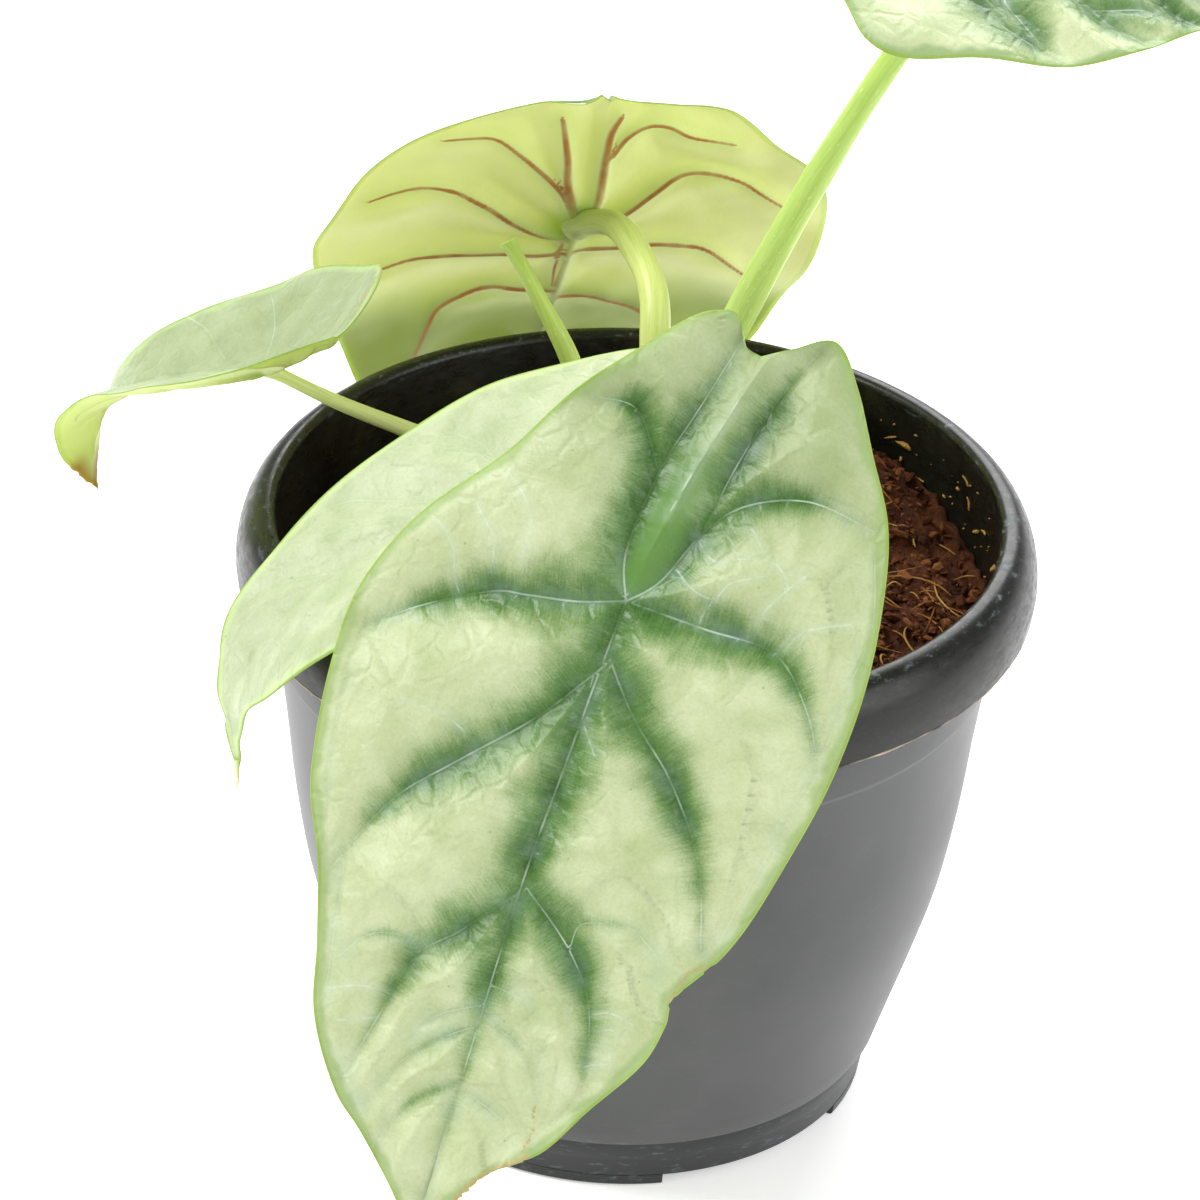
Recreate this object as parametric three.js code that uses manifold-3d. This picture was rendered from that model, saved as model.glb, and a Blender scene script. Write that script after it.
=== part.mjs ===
// A silver dragon alocasia in a black plastic nursery pot: five quilted leaves on arching stalks,
// a short cut stalk, the crown they grow from, and the coir that fills the pot.
// Millimetres, +Z up. The origin is the centre of the pot's foot, and the viewer stands at -Y.

import * as THREE from "three";
import { mergeVertices } from "three/addons/utils/BufferGeometryUtils.js";
import Module from "manifold-3d";

const wasm = await Module();
wasm.setup();

// Driving dimensions of the pot
const RIM_RADIUS = 70;
const POT_HEIGHT = 113.2;
const MOUTH_RADIUS = 64.4;
const POT_WALL = 1.4;
const LIP_DROP = 10;
const LIP_SKIRT = 3;
const FLOOR_UNDERSIDE = 2;
const FLOOR_TOP = 3.6;
const POT_SEGMENTS = 48;
const FOOT_RADIUS = 45.3;
const FOOT_WIDTH = 4.5;
const FOOT_SPREAD = 40;
const FOOT_HEADINGS = [-98, -8, 82, 172];
const CENTRE_PAD_RADIUS = 13;
const DRAIN_HOLES = 8;
const DRAIN_HOLE_RADIUS = 4;
const DRAIN_HOLE_RING = 30;
const DRAIN_HOLE_SIDES = 12;

// The foot band, the outside of the wall from the step over that band to under the lip, and the
// hollow corner over the floor, each as [height, radius]
const FOOT_BAND = [
  [FLOOR_UNDERSIDE, FOOT_RADIUS],
  [10.6, 46.4],
];
const WALL_OUTSIDE = [
  [11, 47.7],
  [20, 50.3],
  [32, 53.8],
  [45, 57.2],
  [60, 59.6],
  [75, 61.2],
  [88, 62.9],
  [89.6, 63.6],
  [103, 64.6],
];
const FLOOR_CORNER = [
  [12, 47.3],
  [5.6, 45.6],
  [FLOOR_TOP, 44],
];

// Driving dimensions of the soil and the crown
const CONTACT_GAP = 0.35;
const SOIL_CLEARANCE = 0.55;
const SOIL_EDGE_HEIGHT = 89;
const SOIL_MOUND = 4;
const SOIL_MOUND_RADIUS = 62;
const SOIL_RISE_TO_RIGHT = 6;
const SOIL_HEAP = 12;
const SOIL_HEAP_CENTRE = [34, 34];
const SOIL_HEAP_RADIUS = 18;
const SOIL_LUMPS = 1.3;
const SOIL_RINGS = 8;
const SOIL_SIDES = 40;
const CROWN_CENTRE = [0.5, 15];
const CROWN_RADIUS = 10.5;
const CROWN_BEVEL = 2;
const CROWN_BOTTOM = 80;
const CROWN_TOP = 101;
const CROWN_SIDES = 20;

// Driving dimensions that all the leaves share
const BLADE_THICKNESS = 0.8;
const VEIN_VALLEY = 5;
const MARGIN_FLAT = 4;
const TRIM_DEPTH = 6;
const SOCKET_LENGTH = 11;
const SOCKET_CLEARANCE = 0.5;
const STALK_SIDES = 8;
const STALK_STEPS_PER_POINT = 2.6;
const STALK_TAPER = 1.3;
const MIDRIB_STEP = 0.5;

// The front leaf's own plan, measured from where the stalk joins: u to its right, v towards its tip
const FRONT_PLAN = {
  right: [
    [7.5, -44.5], [12, -47], [18.5, -50], [24, -44], [29.5, -34.5], [35.5, -24.5], [39, -12.5],
    [41.5, 3], [41, 19.5], [38, 38], [34.5, 49.5], [29, 58.5], [28.8, 63.5], [27, 70.5], [21, 80],
    [16, 88.5], [9, 94.5], [5.5, 100], [0, 108.5],
  ],
  left: [
    [7.5, -44.5], [4.5, -45.5], [1.5, -50], [-4.5, -48], [-12, -39.5], [-20, -29], [-27.5, -15],
    [-37, 0], [-41.5, 12.5], [-41, 25], [-38, 42.5], [-32.5, 54.5], [-29, 67], [-26, 78.5],
    [-19, 89.5], [-13, 95], [-4.5, 103.5], [0, 108.5],
  ],
  veins: [
    [[0, 0], [0.5, 27], [0, 50], [0, 80], [0, 106]],
    [[0, 0], [-7.5, 3], [-15.5, 5], [-21, 6.5], [-31.5, 13], [-38, 18.5]],
    [[1, 10.5], [-6.5, 22.5], [-16, 33], [-23, 40.5], [-27, 47.5], [-30, 55]],
    [[0, 50], [-7, 58.5], [-13, 65], [-16, 76.5], [-18.5, 86.5]],
    [[0, 69], [-5.5, 72], [-9, 75.5], [-9, 79.5]],
    [[0, 72.5], [-6, 77], [-10.5, 82.5], [-13, 90.5]],
    [[0, 82], [-7, 88], [-10, 95.5]],
    [[1, 0], [13.5, -0.5], [25.5, -1], [33.5, 5.5], [38, 12.5]],
    [[1, 9.5], [8, 17], [17.5, 25], [26, 36.5], [30.5, 50]],
    [[1, 49], [10.5, 56.5], [16.5, 65], [18.5, 77], [16, 84]],
    [[0, 65.5], [6, 66.5], [8, 69]],
    [[1, 71], [9, 75], [13, 83]],
    [[0.5, 83], [8.5, 86], [10.5, 89]],
    [[0, 0], [-3, -7.5], [-2.5, -21.5], [0, -32], [3.5, -45]],
    [[-3, -22], [-9, -30], [-15.5, -30]],
    [[0, 0], [4, -5], [7.5, -14.5], [12.5, -21], [22, -25], [33, -24]],
    [[7.5, -14.5], [9, -26.5], [12.5, -39.5], [16.5, -48]],
  ],
};

// The back leaf's plan: its shoulders are broader, its veins run nearly square to the midrib
const BACK_PLAN = {
  right: [
    [2, -40.5], [5, -37.5], [12.5, -38.5], [24, -33.5], [35.5, -25.5], [44, -15.5], [48.3, 0.5],
    [46, 14.5], [41, 29.5], [34.5, 46], [27, 62], [19, 79], [10, 95], [4, 106], [0, 114],
  ],
  left: [
    [2, -40.5], [-3, -37], [-12.5, -36], [-22, -35], [-31.5, -26.5], [-40.5, -19], [-45.5, -4],
    [-45.3, 12], [-43.5, 29], [-38.5, 47], [-30, 66], [-19, 85], [-7.5, 102], [0, 114],
  ],
  veins: [
    [[0, 0], [0, 24], [1, 50], [0, 80], [0, 110]],
    [[0, 0], [4, -14], [7.5, -33]],
    [[0, 0], [-2.5, -19.5], [-2.5, -34]],
    [[0, 0], [8, -11], [14, -21.5], [19.5, -27], [27.5, -26]],
    [[-3, -19.5], [-5, -28], [-9, -31], [-16, -27.5], [-25, -23.5]],
    [[0, 4], [13, -1], [24.5, -8], [31, -8.5], [38, -5]],
    [[0, 5], [-7, -0.5], [-14.5, -9], [-21.5, -13], [-30, -10], [-39, -3]],
    [[0, 12], [14, 9.5], [27, 10.5], [34, 14], [40, 21]],
    [[0, 12], [-14.5, 10.5], [-25, 12.5], [-36, 22]],
    [[0, 24], [11.5, 24], [20, 27.5], [23.5, 37], [24, 46]],
    [[0, 24], [-10, 25], [-18, 31], [-28, 43], [-32, 52]],
    [[0.5, 42], [9, 44], [15, 52], [17, 64]],
    [[0.5, 44], [-9, 47], [-16, 56], [-20, 68]],
    [[0, 62], [7, 66], [10, 76], [9, 86]],
    [[0, 64], [-7, 69], [-12, 80]],
  ],
};

const LEFT_FRONT_PLAN = {
  right: [
    [0, -27], [6, -31], [12, -29.5], [17, -21], [21, -10], [24, 2], [25, 13], [24.5, 25],
    [22.5, 36.5], [18.5, 46], [13.5, 56], [7.5, 63], [4.2, 70], [3.6, 74], [2.5, 78.5],
  ],
  left: [
    [0, -27], [-6, -32], [-14, -33], [-21, -29.5], [-24, -20.5], [-24.5, -8], [-25, 2], [-24, 12],
    [-20, 26], [-17.5, 38], [-14, 47.5], [-10.5, 56.5], [-5, 64], [0, 69.5], [2.5, 78.5],
  ],
  veins: scaledVeins(FRONT_PLAN.veins, 0.6, 0.68),
};

const LEFT_PLAN = {
  right: [
    [0, -19], [5, -19.5], [10.5, -17], [15, -12], [18.3, -6], [20, 1], [19.5, 9], [17, 18],
    [14, 28], [12, 38], [9, 47], [5, 54], [0, 60.5],
  ],
  left: [
    [0, -19], [-6, -25], [-12.5, -26], [-16.5, -18.5], [-19, -10], [-20.3, 0], [-18.7, 9],
    [-16, 18], [-12.5, 28], [-10.5, 38], [-8, 47], [-4, 54], [0, 60.5],
  ],
  veins: scaledVeins(FRONT_PLAN.veins, 0.46, 0.5),
};

const RIGHT_PLAN = {
  right: [
    [2, -23], [9, -27.5], [17, -26.5], [24, -19], [28, -6], [28.5, 7], [26.5, 19], [21.5, 30],
    [14, 41], [6, 51], [0, 60],
  ],
  left: [
    [2, -23], [-6, -27], [-14, -26.3], [-22, -25], [-25.8, -19], [-26.9, -5], [-26.8, 6],
    [-24.8, 17.5], [-20.3, 28], [-12, 38.5], [-5, 49.5], [0, 60],
  ],
  veins: scaledVeins(FRONT_PLAN.veins, 0.66, 0.55),
};

// How each blade hangs. The stations give, at distances v along the midrib, the midrib's heading
// in plan, its dip below level and its roll, in degrees. fold lifts the margins into a V, arch
// lowers them, quilt is the height of the panels between the veins, in millimetres.
const LEAVES = {
  front: {
    plan: FRONT_PLAN,
    joint: [-1.8, -72, 138],
    stations: [[-55, -110, 48, -19], [0, -123, 52, -19], [55, -117, 56, -19], [118, -123, 62, -18]],
    fold: 0, arch: 0.0012, quilt: 2.6, ripple: 0.9, rows: 36, columns: 18,
    colour: 0x8fb07c,
  },
  back: {
    plan: BACK_PLAN,
    joint: [-13.8, 62, 137.4],
    stations: [[-45, 105, 62, 6], [0, 109, 60, 6], [50, 113, 62, 5], [110, 113, 68, 2]],
    fold: 0, arch: 0.0016, quilt: 1.8, ripple: 0.9, rows: 34, columns: 16,
    colour: 0xb9cd6f,
  },
  left_front: {
    plan: LEFT_FRONT_PLAN,
    joint: [-20.1, -33, 137.6],
    stations: [
      [-35, 196, 8, -4], [0, 193, 19, -4], [20, 193, 28, -3], [42, 200, 37, 1], [60, 207, 64, 4],
      [70, 226, 84, 0], [78, 250, 92, 0],
    ],
    fold: 0.1, arch: 0, quilt: 1.1, ripple: 0.5, rows: 28, columns: 12,
    colour: 0xc3d9a0,
  },
  left: {
    plan: LEFT_PLAN,
    joint: [-67.1, 18, 128.7],
    stations: [
      [-24, 148, 42, -7], [-6, 147, 34, -7], [8, 147, 22, -7], [24, 149, 25, -7],
      [37, 152, 42, -7], [47, 152, 74, -3], [54, 150, 97, 0], [61, 150, 112, 0],
    ],
    fold: 0.43, arch: 0, quilt: 0.8, ripple: 0.4, rows: 24, columns: 12,
    colour: 0xa9c98f,
  },
  right: {
    plan: RIGHT_PLAN,
    joint: [51.7, 14, 215.4],
    stations: [[-40, 18, 0, 14], [0, 15, 8, 14], [40, 12, 16, 14], [85, 10, 34, 14]],
    fold: 0, arch: 0.002, quilt: 1.5, ripple: 0.7, rows: 26, columns: 12,
    colour: 0x8fb584,
  },
};

// Each stalk's route from the crown to its blade, its radius at the foot and at the blade
const STALKS = {
  front: {
    route: [[2, 10, 97], [3.5, -4, 113], [4, -24, 123], [2.5, -46, 127.5], [0, -61, 131]],
    foot: 3.1,
    end: 2.3,
  },
  left_front: {
    route: [[-5, 11, 97], [-7.5, -3, 111], [-10, -20, 119], [-15, -30, 127]],
    foot: 2.7,
    end: 1.8,
  },
  left: {
    route: [[-6.5, 17, 97], [-20, 18.5, 107.7], [-40.2, 19, 115.3], [-53.5, 19.5, 120.3]],
    foot: 2.3,
    end: 1.15,
  },
  back: {
    route: [
      [2.5, 21.5, 97], [2, 22.5, 115], [1.5, 25, 132], [0.9, 31, 138.5], [-1.8, 39, 141.6],
      [-6.5, 49, 142.6],
    ],
    foot: 3.2,
    end: 2.3,
  },
  right: {
    route: [[7, 14.5, 97], [7.6, 15, 121], [15.4, 15, 142.5], [26.7, 15, 168.7], [39.2, 14, 194.3]],
    foot: 3.5,
    end: 2.05,
  },
};
const STUB = {
  route: [[-4.5, 22, 97], [-8.5, 18.5, 117], [-13.6, 18, 132.8], [-18.9, 20, 142.4], [-24.8, 24, 151.5]],
  foot: 2.9,
  end: 1.3,
};

const root = new THREE.Group();
root.name = "potted_silver_dragon_alocasia";

function scaledVeins(veins, across, along) {
  return veins.map((vein) => vein.map(([u, v]) => [u * across, v * along]));
}

function radians(degrees) {
  return THREE.MathUtils.degToRad(degrees);
}

// A solid for joining and cutting. A closed surface that came out facing inwards is turned round.
function solidOf(geometry) {
  const bare = geometry.clone();
  bare.deleteAttribute("normal");
  bare.deleteAttribute("uv");
  const merged = mergeVertices(bare, 1e-4);
  const triVerts = new Uint32Array(merged.index.array);
  const vertProperties = merged.attributes.position.array;
  const solid = new wasm.Manifold(new wasm.Mesh({ numProp: 3, vertProperties, triVerts }));
  if (solid.volume() > 0) return solid;
  for (let i = 0; i < triVerts.length; i += 3) {
    [triVerts[i + 1], triVerts[i + 2]] = [triVerts[i + 2], triVerts[i + 1]];
  }
  return new wasm.Manifold(new wasm.Mesh({ numProp: 3, vertProperties, triVerts }));
}

function geometryOf(solid) {
  const mesh = solid.getMesh();
  const geometry = new THREE.BufferGeometry();
  geometry.setAttribute("position", new THREE.BufferAttribute(new Float32Array(mesh.vertProperties), 3));
  geometry.setIndex(new THREE.BufferAttribute(new Uint32Array(mesh.triVerts), 1));
  geometry.computeVertexNormals();
  return geometry;
}

function addPiece(name, solid, colour, roughness) {
  const material = new THREE.MeshStandardMaterial({ color: colour, roughness, flatShading: true });
  const mesh = new THREE.Mesh(geometryOf(solid), material);
  mesh.name = name;
  root.add(mesh);
}

// A lathe turns about Y, so what it makes is stood up to turn about Z.
function turned(profile, segments, start = 0, sweep = 360) {
  const points = profile.map(([radius, height]) => new THREE.Vector2(radius, height));
  const geometry = new THREE.LatheGeometry(points, segments, radians(start), radians(sweep));
  return geometry.rotateX(Math.PI / 2);
}

function disc(radius, bottom, top, centre, segments) {
  const geometry = new THREE.CylinderGeometry(radius, radius, top - bottom, segments);
  geometry.rotateX(Math.PI / 2);
  geometry.translate(centre[0], centre[1], (top + bottom) / 2);
  return solidOf(geometry);
}

// The pot is one moulding: floor, tapered wall with a fine collar, and a lip rolled out and down.
function potProfile() {
  const turnedRound = ([height, radius]) => [radius, height];
  const wallInside = WALL_OUTSIDE.slice(1, -1).map(([height, radius]) => [radius - POT_WALL, height]);
  const lipTop = POT_HEIGHT - LIP_DROP;
  const lipFoot = lipTop - LIP_SKIRT;
  const lipOutside = [0, 22, 45, 68, 90].map((angle) => [
    MOUTH_RADIUS + (RIM_RADIUS - MOUTH_RADIUS) * Math.cos(radians(angle)),
    lipTop + LIP_DROP * Math.sin(radians(angle)),
  ]);
  return [
    [0, FLOOR_UNDERSIDE],
    ...FOOT_BAND.map(turnedRound),
    ...WALL_OUTSIDE.map(turnedRound),
    [RIM_RADIUS - POT_WALL, lipTop],
    [RIM_RADIUS - POT_WALL - 0.1, lipFoot],
    [RIM_RADIUS - 0.5, lipFoot],
    ...lipOutside,
    [MOUTH_RADIUS - POT_WALL, POT_HEIGHT - 1.2],
    ...wallInside.reverse(),
    ...FLOOR_CORNER.map(turnedRound),
    [0, FLOOR_TOP],
  ];
}

function pot() {
  const padTop = FLOOR_UNDERSIDE + 0.8;
  let body = solidOf(turned(potProfile(), POT_SEGMENTS));
  for (const heading of FOOT_HEADINGS) body = body.add(foot(heading, padTop));
  body = body.add(disc(CENTRE_PAD_RADIUS, 0, padTop, [0, 0], 24));
  for (let hole = 0; hole < DRAIN_HOLES; hole += 1) {
    const angle = (hole + 0.5) * ((2 * Math.PI) / DRAIN_HOLES);
    const centre = [DRAIN_HOLE_RING * Math.cos(angle), DRAIN_HOLE_RING * Math.sin(angle)];
    body = body.subtract(disc(DRAIN_HOLE_RADIUS, -1, FLOOR_TOP + 1, centre, DRAIN_HOLE_SIDES));
  }
  return body;
}

// A foot is a short arc, cut out of a full ring by a wedge as wide as the foot spreads.
function foot(heading, top) {
  const inner = FOOT_RADIUS - FOOT_WIDTH;
  const section = [[inner, 0], [FOOT_RADIUS - 0.4, 0], [FOOT_RADIUS, top], [inner, top], [inner, 0]];
  const ring = solidOf(turned(section, POT_SEGMENTS));
  const reach = 2 * FOOT_RADIUS;
  const half = radians(FOOT_SPREAD / 2);
  const outline = new THREE.Shape();
  outline.moveTo(0, 0);
  outline.lineTo(reach * Math.cos(half), -reach * Math.sin(half));
  outline.lineTo(reach * Math.cos(half), reach * Math.sin(half));
  outline.closePath();
  const wedge = new THREE.ExtrudeGeometry(outline, { depth: 20, bevelEnabled: false });
  wedge.translate(0, 0, -10);
  wedge.rotateZ(radians(heading));
  return ring.intersect(solidOf(wedge));
}

// The inner wall's radius at a height, for the soil that fills it.
function innerRadius(height) {
  for (let i = 1; i < WALL_OUTSIDE.length; i += 1) {
    const [low, lowRadius] = WALL_OUTSIDE[i - 1];
    const [high, highRadius] = WALL_OUTSIDE[i];
    if (height <= high) {
      return THREE.MathUtils.mapLinear(height, low, high, lowRadius, highRadius) - POT_WALL;
    }
  }
  return MOUTH_RADIUS - POT_WALL;
}

// Lumps of coir, as a sum of waves that don't repeat.
function lumps(x, y) {
  const broad = Math.sin(0.13 * x + 1.7) * Math.sin(0.11 * y + 0.4);
  const middle = Math.sin(0.31 * x - 0.23 * y) * Math.cos(0.27 * y + 0.19 * x);
  const fine = Math.sin(0.9 * x + 0.5 * y) * Math.sin(0.8 * y - 0.6 * x + 2);
  return SOIL_LUMPS * (broad + 0.7 * middle + 0.5 * fine);
}

function soilHeight(x, y, edge) {
  const fromCrown = Math.hypot(x - CROWN_CENTRE[0], y - CROWN_CENTRE[1]);
  const spread = Math.min(1, fromCrown / SOIL_MOUND_RADIUS);
  const mound = SOIL_MOUND * 0.5 * (1 + Math.cos(Math.PI * spread));
  const rise = (SOIL_RISE_TO_RIGHT * Math.max(0, x)) / SOIL_MOUND_RADIUS;
  const fromHeap = Math.hypot(x - SOIL_HEAP_CENTRE[0], y - SOIL_HEAP_CENTRE[1]);
  const heap = SOIL_HEAP * Math.exp(-((fromHeap / SOIL_HEAP_RADIUS) ** 2));
  return SOIL_EDGE_HEIGHT + mound + rise + heap + lumps(x, y) * (1 - edge ** 6);
}

function soil() {
  const bottomHeight = FLOOR_TOP + CONTACT_GAP;
  const side = [60, 45, 32, 20].map((height) => [innerRadius(height) - SOIL_CLEARANCE, height]);
  side.push([45.2, 7], [43.2, bottomHeight]);
  const positions = [];
  const index = [];
  const edgeRadius = innerRadius(SOIL_EDGE_HEIGHT) - SOIL_CLEARANCE;
  const layer = (radius, heightAt) => {
    for (let k = 0; k < SOIL_SIDES; k += 1) {
      const angle = (2 * Math.PI * k) / SOIL_SIDES;
      const x = radius * Math.cos(angle);
      const y = radius * Math.sin(angle);
      positions.push(x, y, heightAt(x, y));
    }
  };
  positions.push(0, 0, soilHeight(0, 0, 0));
  for (let ring = 1; ring <= SOIL_RINGS; ring += 1) {
    const share = ring / SOIL_RINGS;
    layer(edgeRadius * share, (x, y) => soilHeight(x, y, share));
  }
  for (const [radius, height] of side) layer(radius, () => height);
  const bottom = positions.length / 3;
  positions.push(0, 0, bottomHeight);
  const layers = SOIL_RINGS + side.length;
  for (let k = 0; k < SOIL_SIDES; k += 1) {
    const next = (k + 1) % SOIL_SIDES;
    index.push(0, 1 + k, 1 + next);
    for (let ring = 0; ring < layers - 1; ring += 1) {
      const a = 1 + ring * SOIL_SIDES + k;
      const b = 1 + ring * SOIL_SIDES + next;
      index.push(a, a + SOIL_SIDES, b + SOIL_SIDES, a, b + SOIL_SIDES, b);
    }
    const last = 1 + (layers - 1) * SOIL_SIDES;
    index.push(last + k, bottom, last + next);
  }
  const geometry = new THREE.BufferGeometry();
  geometry.setAttribute("position", new THREE.Float32BufferAttribute(positions, 3));
  geometry.setIndex(index);
  const holeRadius = CROWN_RADIUS + CONTACT_GAP;
  const hole = disc(holeRadius, CROWN_BOTTOM - CONTACT_GAP, POT_HEIGHT, CROWN_CENTRE, CROWN_SIDES);
  return solidOf(geometry).subtract(hole);
}

// The crown is a short stem with a domed top. Each stalk stands in a socket of its own in it.
function crown(stalkSockets) {
  const profile = [
    [0, CROWN_BOTTOM],
    [CROWN_RADIUS - CROWN_BEVEL, CROWN_BOTTOM],
    [CROWN_RADIUS, CROWN_BOTTOM + CROWN_BEVEL],
    [CROWN_RADIUS, CROWN_TOP - 2 * CROWN_BEVEL],
    [CROWN_RADIUS - CROWN_BEVEL, CROWN_TOP - 0.5 * CROWN_BEVEL],
    [0, CROWN_TOP],
  ];
  const geometry = turned(profile, CROWN_SIDES).translate(CROWN_CENTRE[0], CROWN_CENTRE[1], 0);
  return stalkSockets.reduce((body, socket) => body.subtract(socket), solidOf(geometry));
}

// A stalk is a round section drawn along its route, then narrowed from the foot to the blade.
function stalk(route, foot, end, steps) {
  const curve = new THREE.CatmullRomCurve3(route.map((point) => new THREE.Vector3(...point)));
  const section = new THREE.Shape();
  for (let side = 0; side < STALK_SIDES; side += 1) {
    const angle = (2 * Math.PI * side) / STALK_SIDES;
    const point = [foot * Math.cos(angle), foot * Math.sin(angle)];
    if (side === 0) section.moveTo(...point);
    else section.lineTo(...point);
  }
  section.closePath();
  const geometry = new THREE.ExtrudeGeometry(section, { steps, extrudePath: curve, bevelEnabled: false });
  const places = curve.getSpacedPoints(steps);
  const positions = geometry.attributes.position;
  const vertex = new THREE.Vector3();
  for (let i = 0; i < positions.count; i += 1) {
    vertex.fromBufferAttribute(positions, i);
    const distances = places.map((place) => Math.abs(place.distanceTo(vertex) - foot));
    const nearest = distances.indexOf(Math.min(...distances));
    const share = nearest / steps;
    const radius = end + (foot - end) * (1 - share) ** STALK_TAPER;
    vertex.sub(places[nearest]).multiplyScalar(radius / foot).add(places[nearest]);
    positions.setXYZ(i, vertex.x, vertex.y, vertex.z);
  }
  return solidOf(geometry);
}

// A smooth line through a plan's few points, as evenly spaced [u, v] pairs.
function smoothLine(points, count) {
  const curve = new THREE.SplineCurve(points.map(([u, v]) => new THREE.Vector2(u, v)));
  return curve.getSpacedPoints(count).map((point) => [point.x, point.y]);
}

// Heading, dip and roll at v, eased from one station to the next.
function attitude(stations, v) {
  const last = stations.length - 1;
  let i = 0;
  while (i < last - 1 && v > stations[i + 1][0]) i += 1;
  const [fromV, ...from] = stations[i];
  const [toV, ...to] = stations[i + 1];
  const share = THREE.MathUtils.smoothstep(v, fromV, toV);
  return from.map((value, k) => radians(value + (to[k] - value) * share));
}

// The blade's axes at v: along the midrib, out of the upper face, and to the right.
function axesAt(stations, v) {
  const [heading, dip, roll] = attitude(stations, v);
  const along = new THREE.Vector3(
    Math.cos(dip) * Math.cos(heading),
    Math.cos(dip) * Math.sin(heading),
    -Math.sin(dip),
  );
  const upright = new THREE.Vector3(
    Math.sin(dip) * Math.cos(heading),
    Math.sin(dip) * Math.sin(heading),
    Math.cos(dip),
  );
  const level = new THREE.Vector3(-Math.sin(heading), Math.cos(heading), 0);
  const out = upright.clone().multiplyScalar(Math.cos(roll)).addScaledVector(level, -Math.sin(roll));
  const right = level.clone().multiplyScalar(Math.cos(roll)).addScaledVector(upright, Math.sin(roll));
  return { along, out, right };
}

// The midrib is followed in short steps both ways from the joint.
function midribPlaces(leaf, from, to) {
  const places = new Map([[0, new THREE.Vector3(...leaf.joint)]]);
  for (const way of [1, -1]) {
    const place = new THREE.Vector3(...leaf.joint);
    const steps = Math.ceil(Math.abs(way > 0 ? to : from) / MIDRIB_STEP) + 1;
    for (let k = 1; k <= steps; k += 1) {
      const middle = way * (k - 0.5) * MIDRIB_STEP;
      place.addScaledVector(axesAt(leaf.stations, middle).along, way * MIDRIB_STEP);
      places.set(way * k, place.clone());
    }
  }
  return (v) => {
    const low = Math.floor(v / MIDRIB_STEP);
    const share = v / MIDRIB_STEP - low;
    return places.get(low).clone().lerp(places.get(low + 1), share);
  };
}

function distanceToLine(u, v, line) {
  let nearest = Infinity;
  for (let i = 1; i < line.length; i += 1) {
    const [au, av] = line[i - 1];
    const [bu, bv] = line[i];
    const length2 = (bu - au) ** 2 + (bv - av) ** 2;
    const share = THREE.MathUtils.clamp(((u - au) * (bu - au) + (v - av) * (bv - av)) / length2, 0, 1);
    nearest = Math.min(nearest, Math.hypot(u - au - share * (bu - au), v - av - share * (bv - av)));
  }
  return nearest;
}

// Rows run from the midline out to both margins, further forward at the margin than at the
// midline, as the side veins do. The first row is the notch between the lobes, the last the tip.
function bladeGrid(leaf) {
  const { rows, columns, plan } = leaf;
  const right = smoothLine(plan.right, rows);
  const left = smoothLine(plan.left, rows);
  const [notchU, notchV] = plan.right[0];
  const [tipU, tipV] = plan.right[plan.right.length - 1];
  const grid = [];
  for (let row = 0; row <= rows; row += 1) {
    const share = (row / rows) ** 1.15;
    const midV = notchV + (tipV - notchV) * share;
    const midU = midV < 0 ? (notchU * midV) / notchV : tipU * Math.max(0, midV / tipV) ** 3;
    const line = [];
    for (let column = 0; column <= columns; column += 1) {
      const across = (2 * column) / columns - 1;
      const [edgeU, edgeV] = across < 0 ? left[row] : right[row];
      const reach = Math.abs(across);
      const u = midU + (edgeU - midU) * reach;
      const v = midV + (edgeV - midV) * reach;
      const inset = (1 - reach) * Math.hypot(edgeU - midU, edgeV - midV);
      line.push({ u, v, inset });
    }
    grid.push(line);
  }
  return grid;
}

// How far the upper face stands off the blade's plain sheet: fold, arch, rippled margin, and
// panels that swell between the veins and sink along them.
function relief(leaf, veinLines, { u, v, inset }) {
  const toVein = Math.min(...veinLines.map((line) => distanceToLine(u, v, line)));
  const fold = leaf.fold * (Math.sqrt(u * u + 9) - 3);
  const arch = -leaf.arch * u * u;
  const ripple = leaf.ripple * Math.sin(0.21 * v + (u > 0 ? 0.6 : 2.4)) * Math.exp(-inset / 7);
  const panel = 1 - Math.exp(-((toVein / VEIN_VALLEY) ** 2));
  const quilt = leaf.quilt * (panel * (1 - Math.exp(-inset / MARGIN_FLAT)) - 0.5);
  return fold + arch + ripple + quilt;
}

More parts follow.
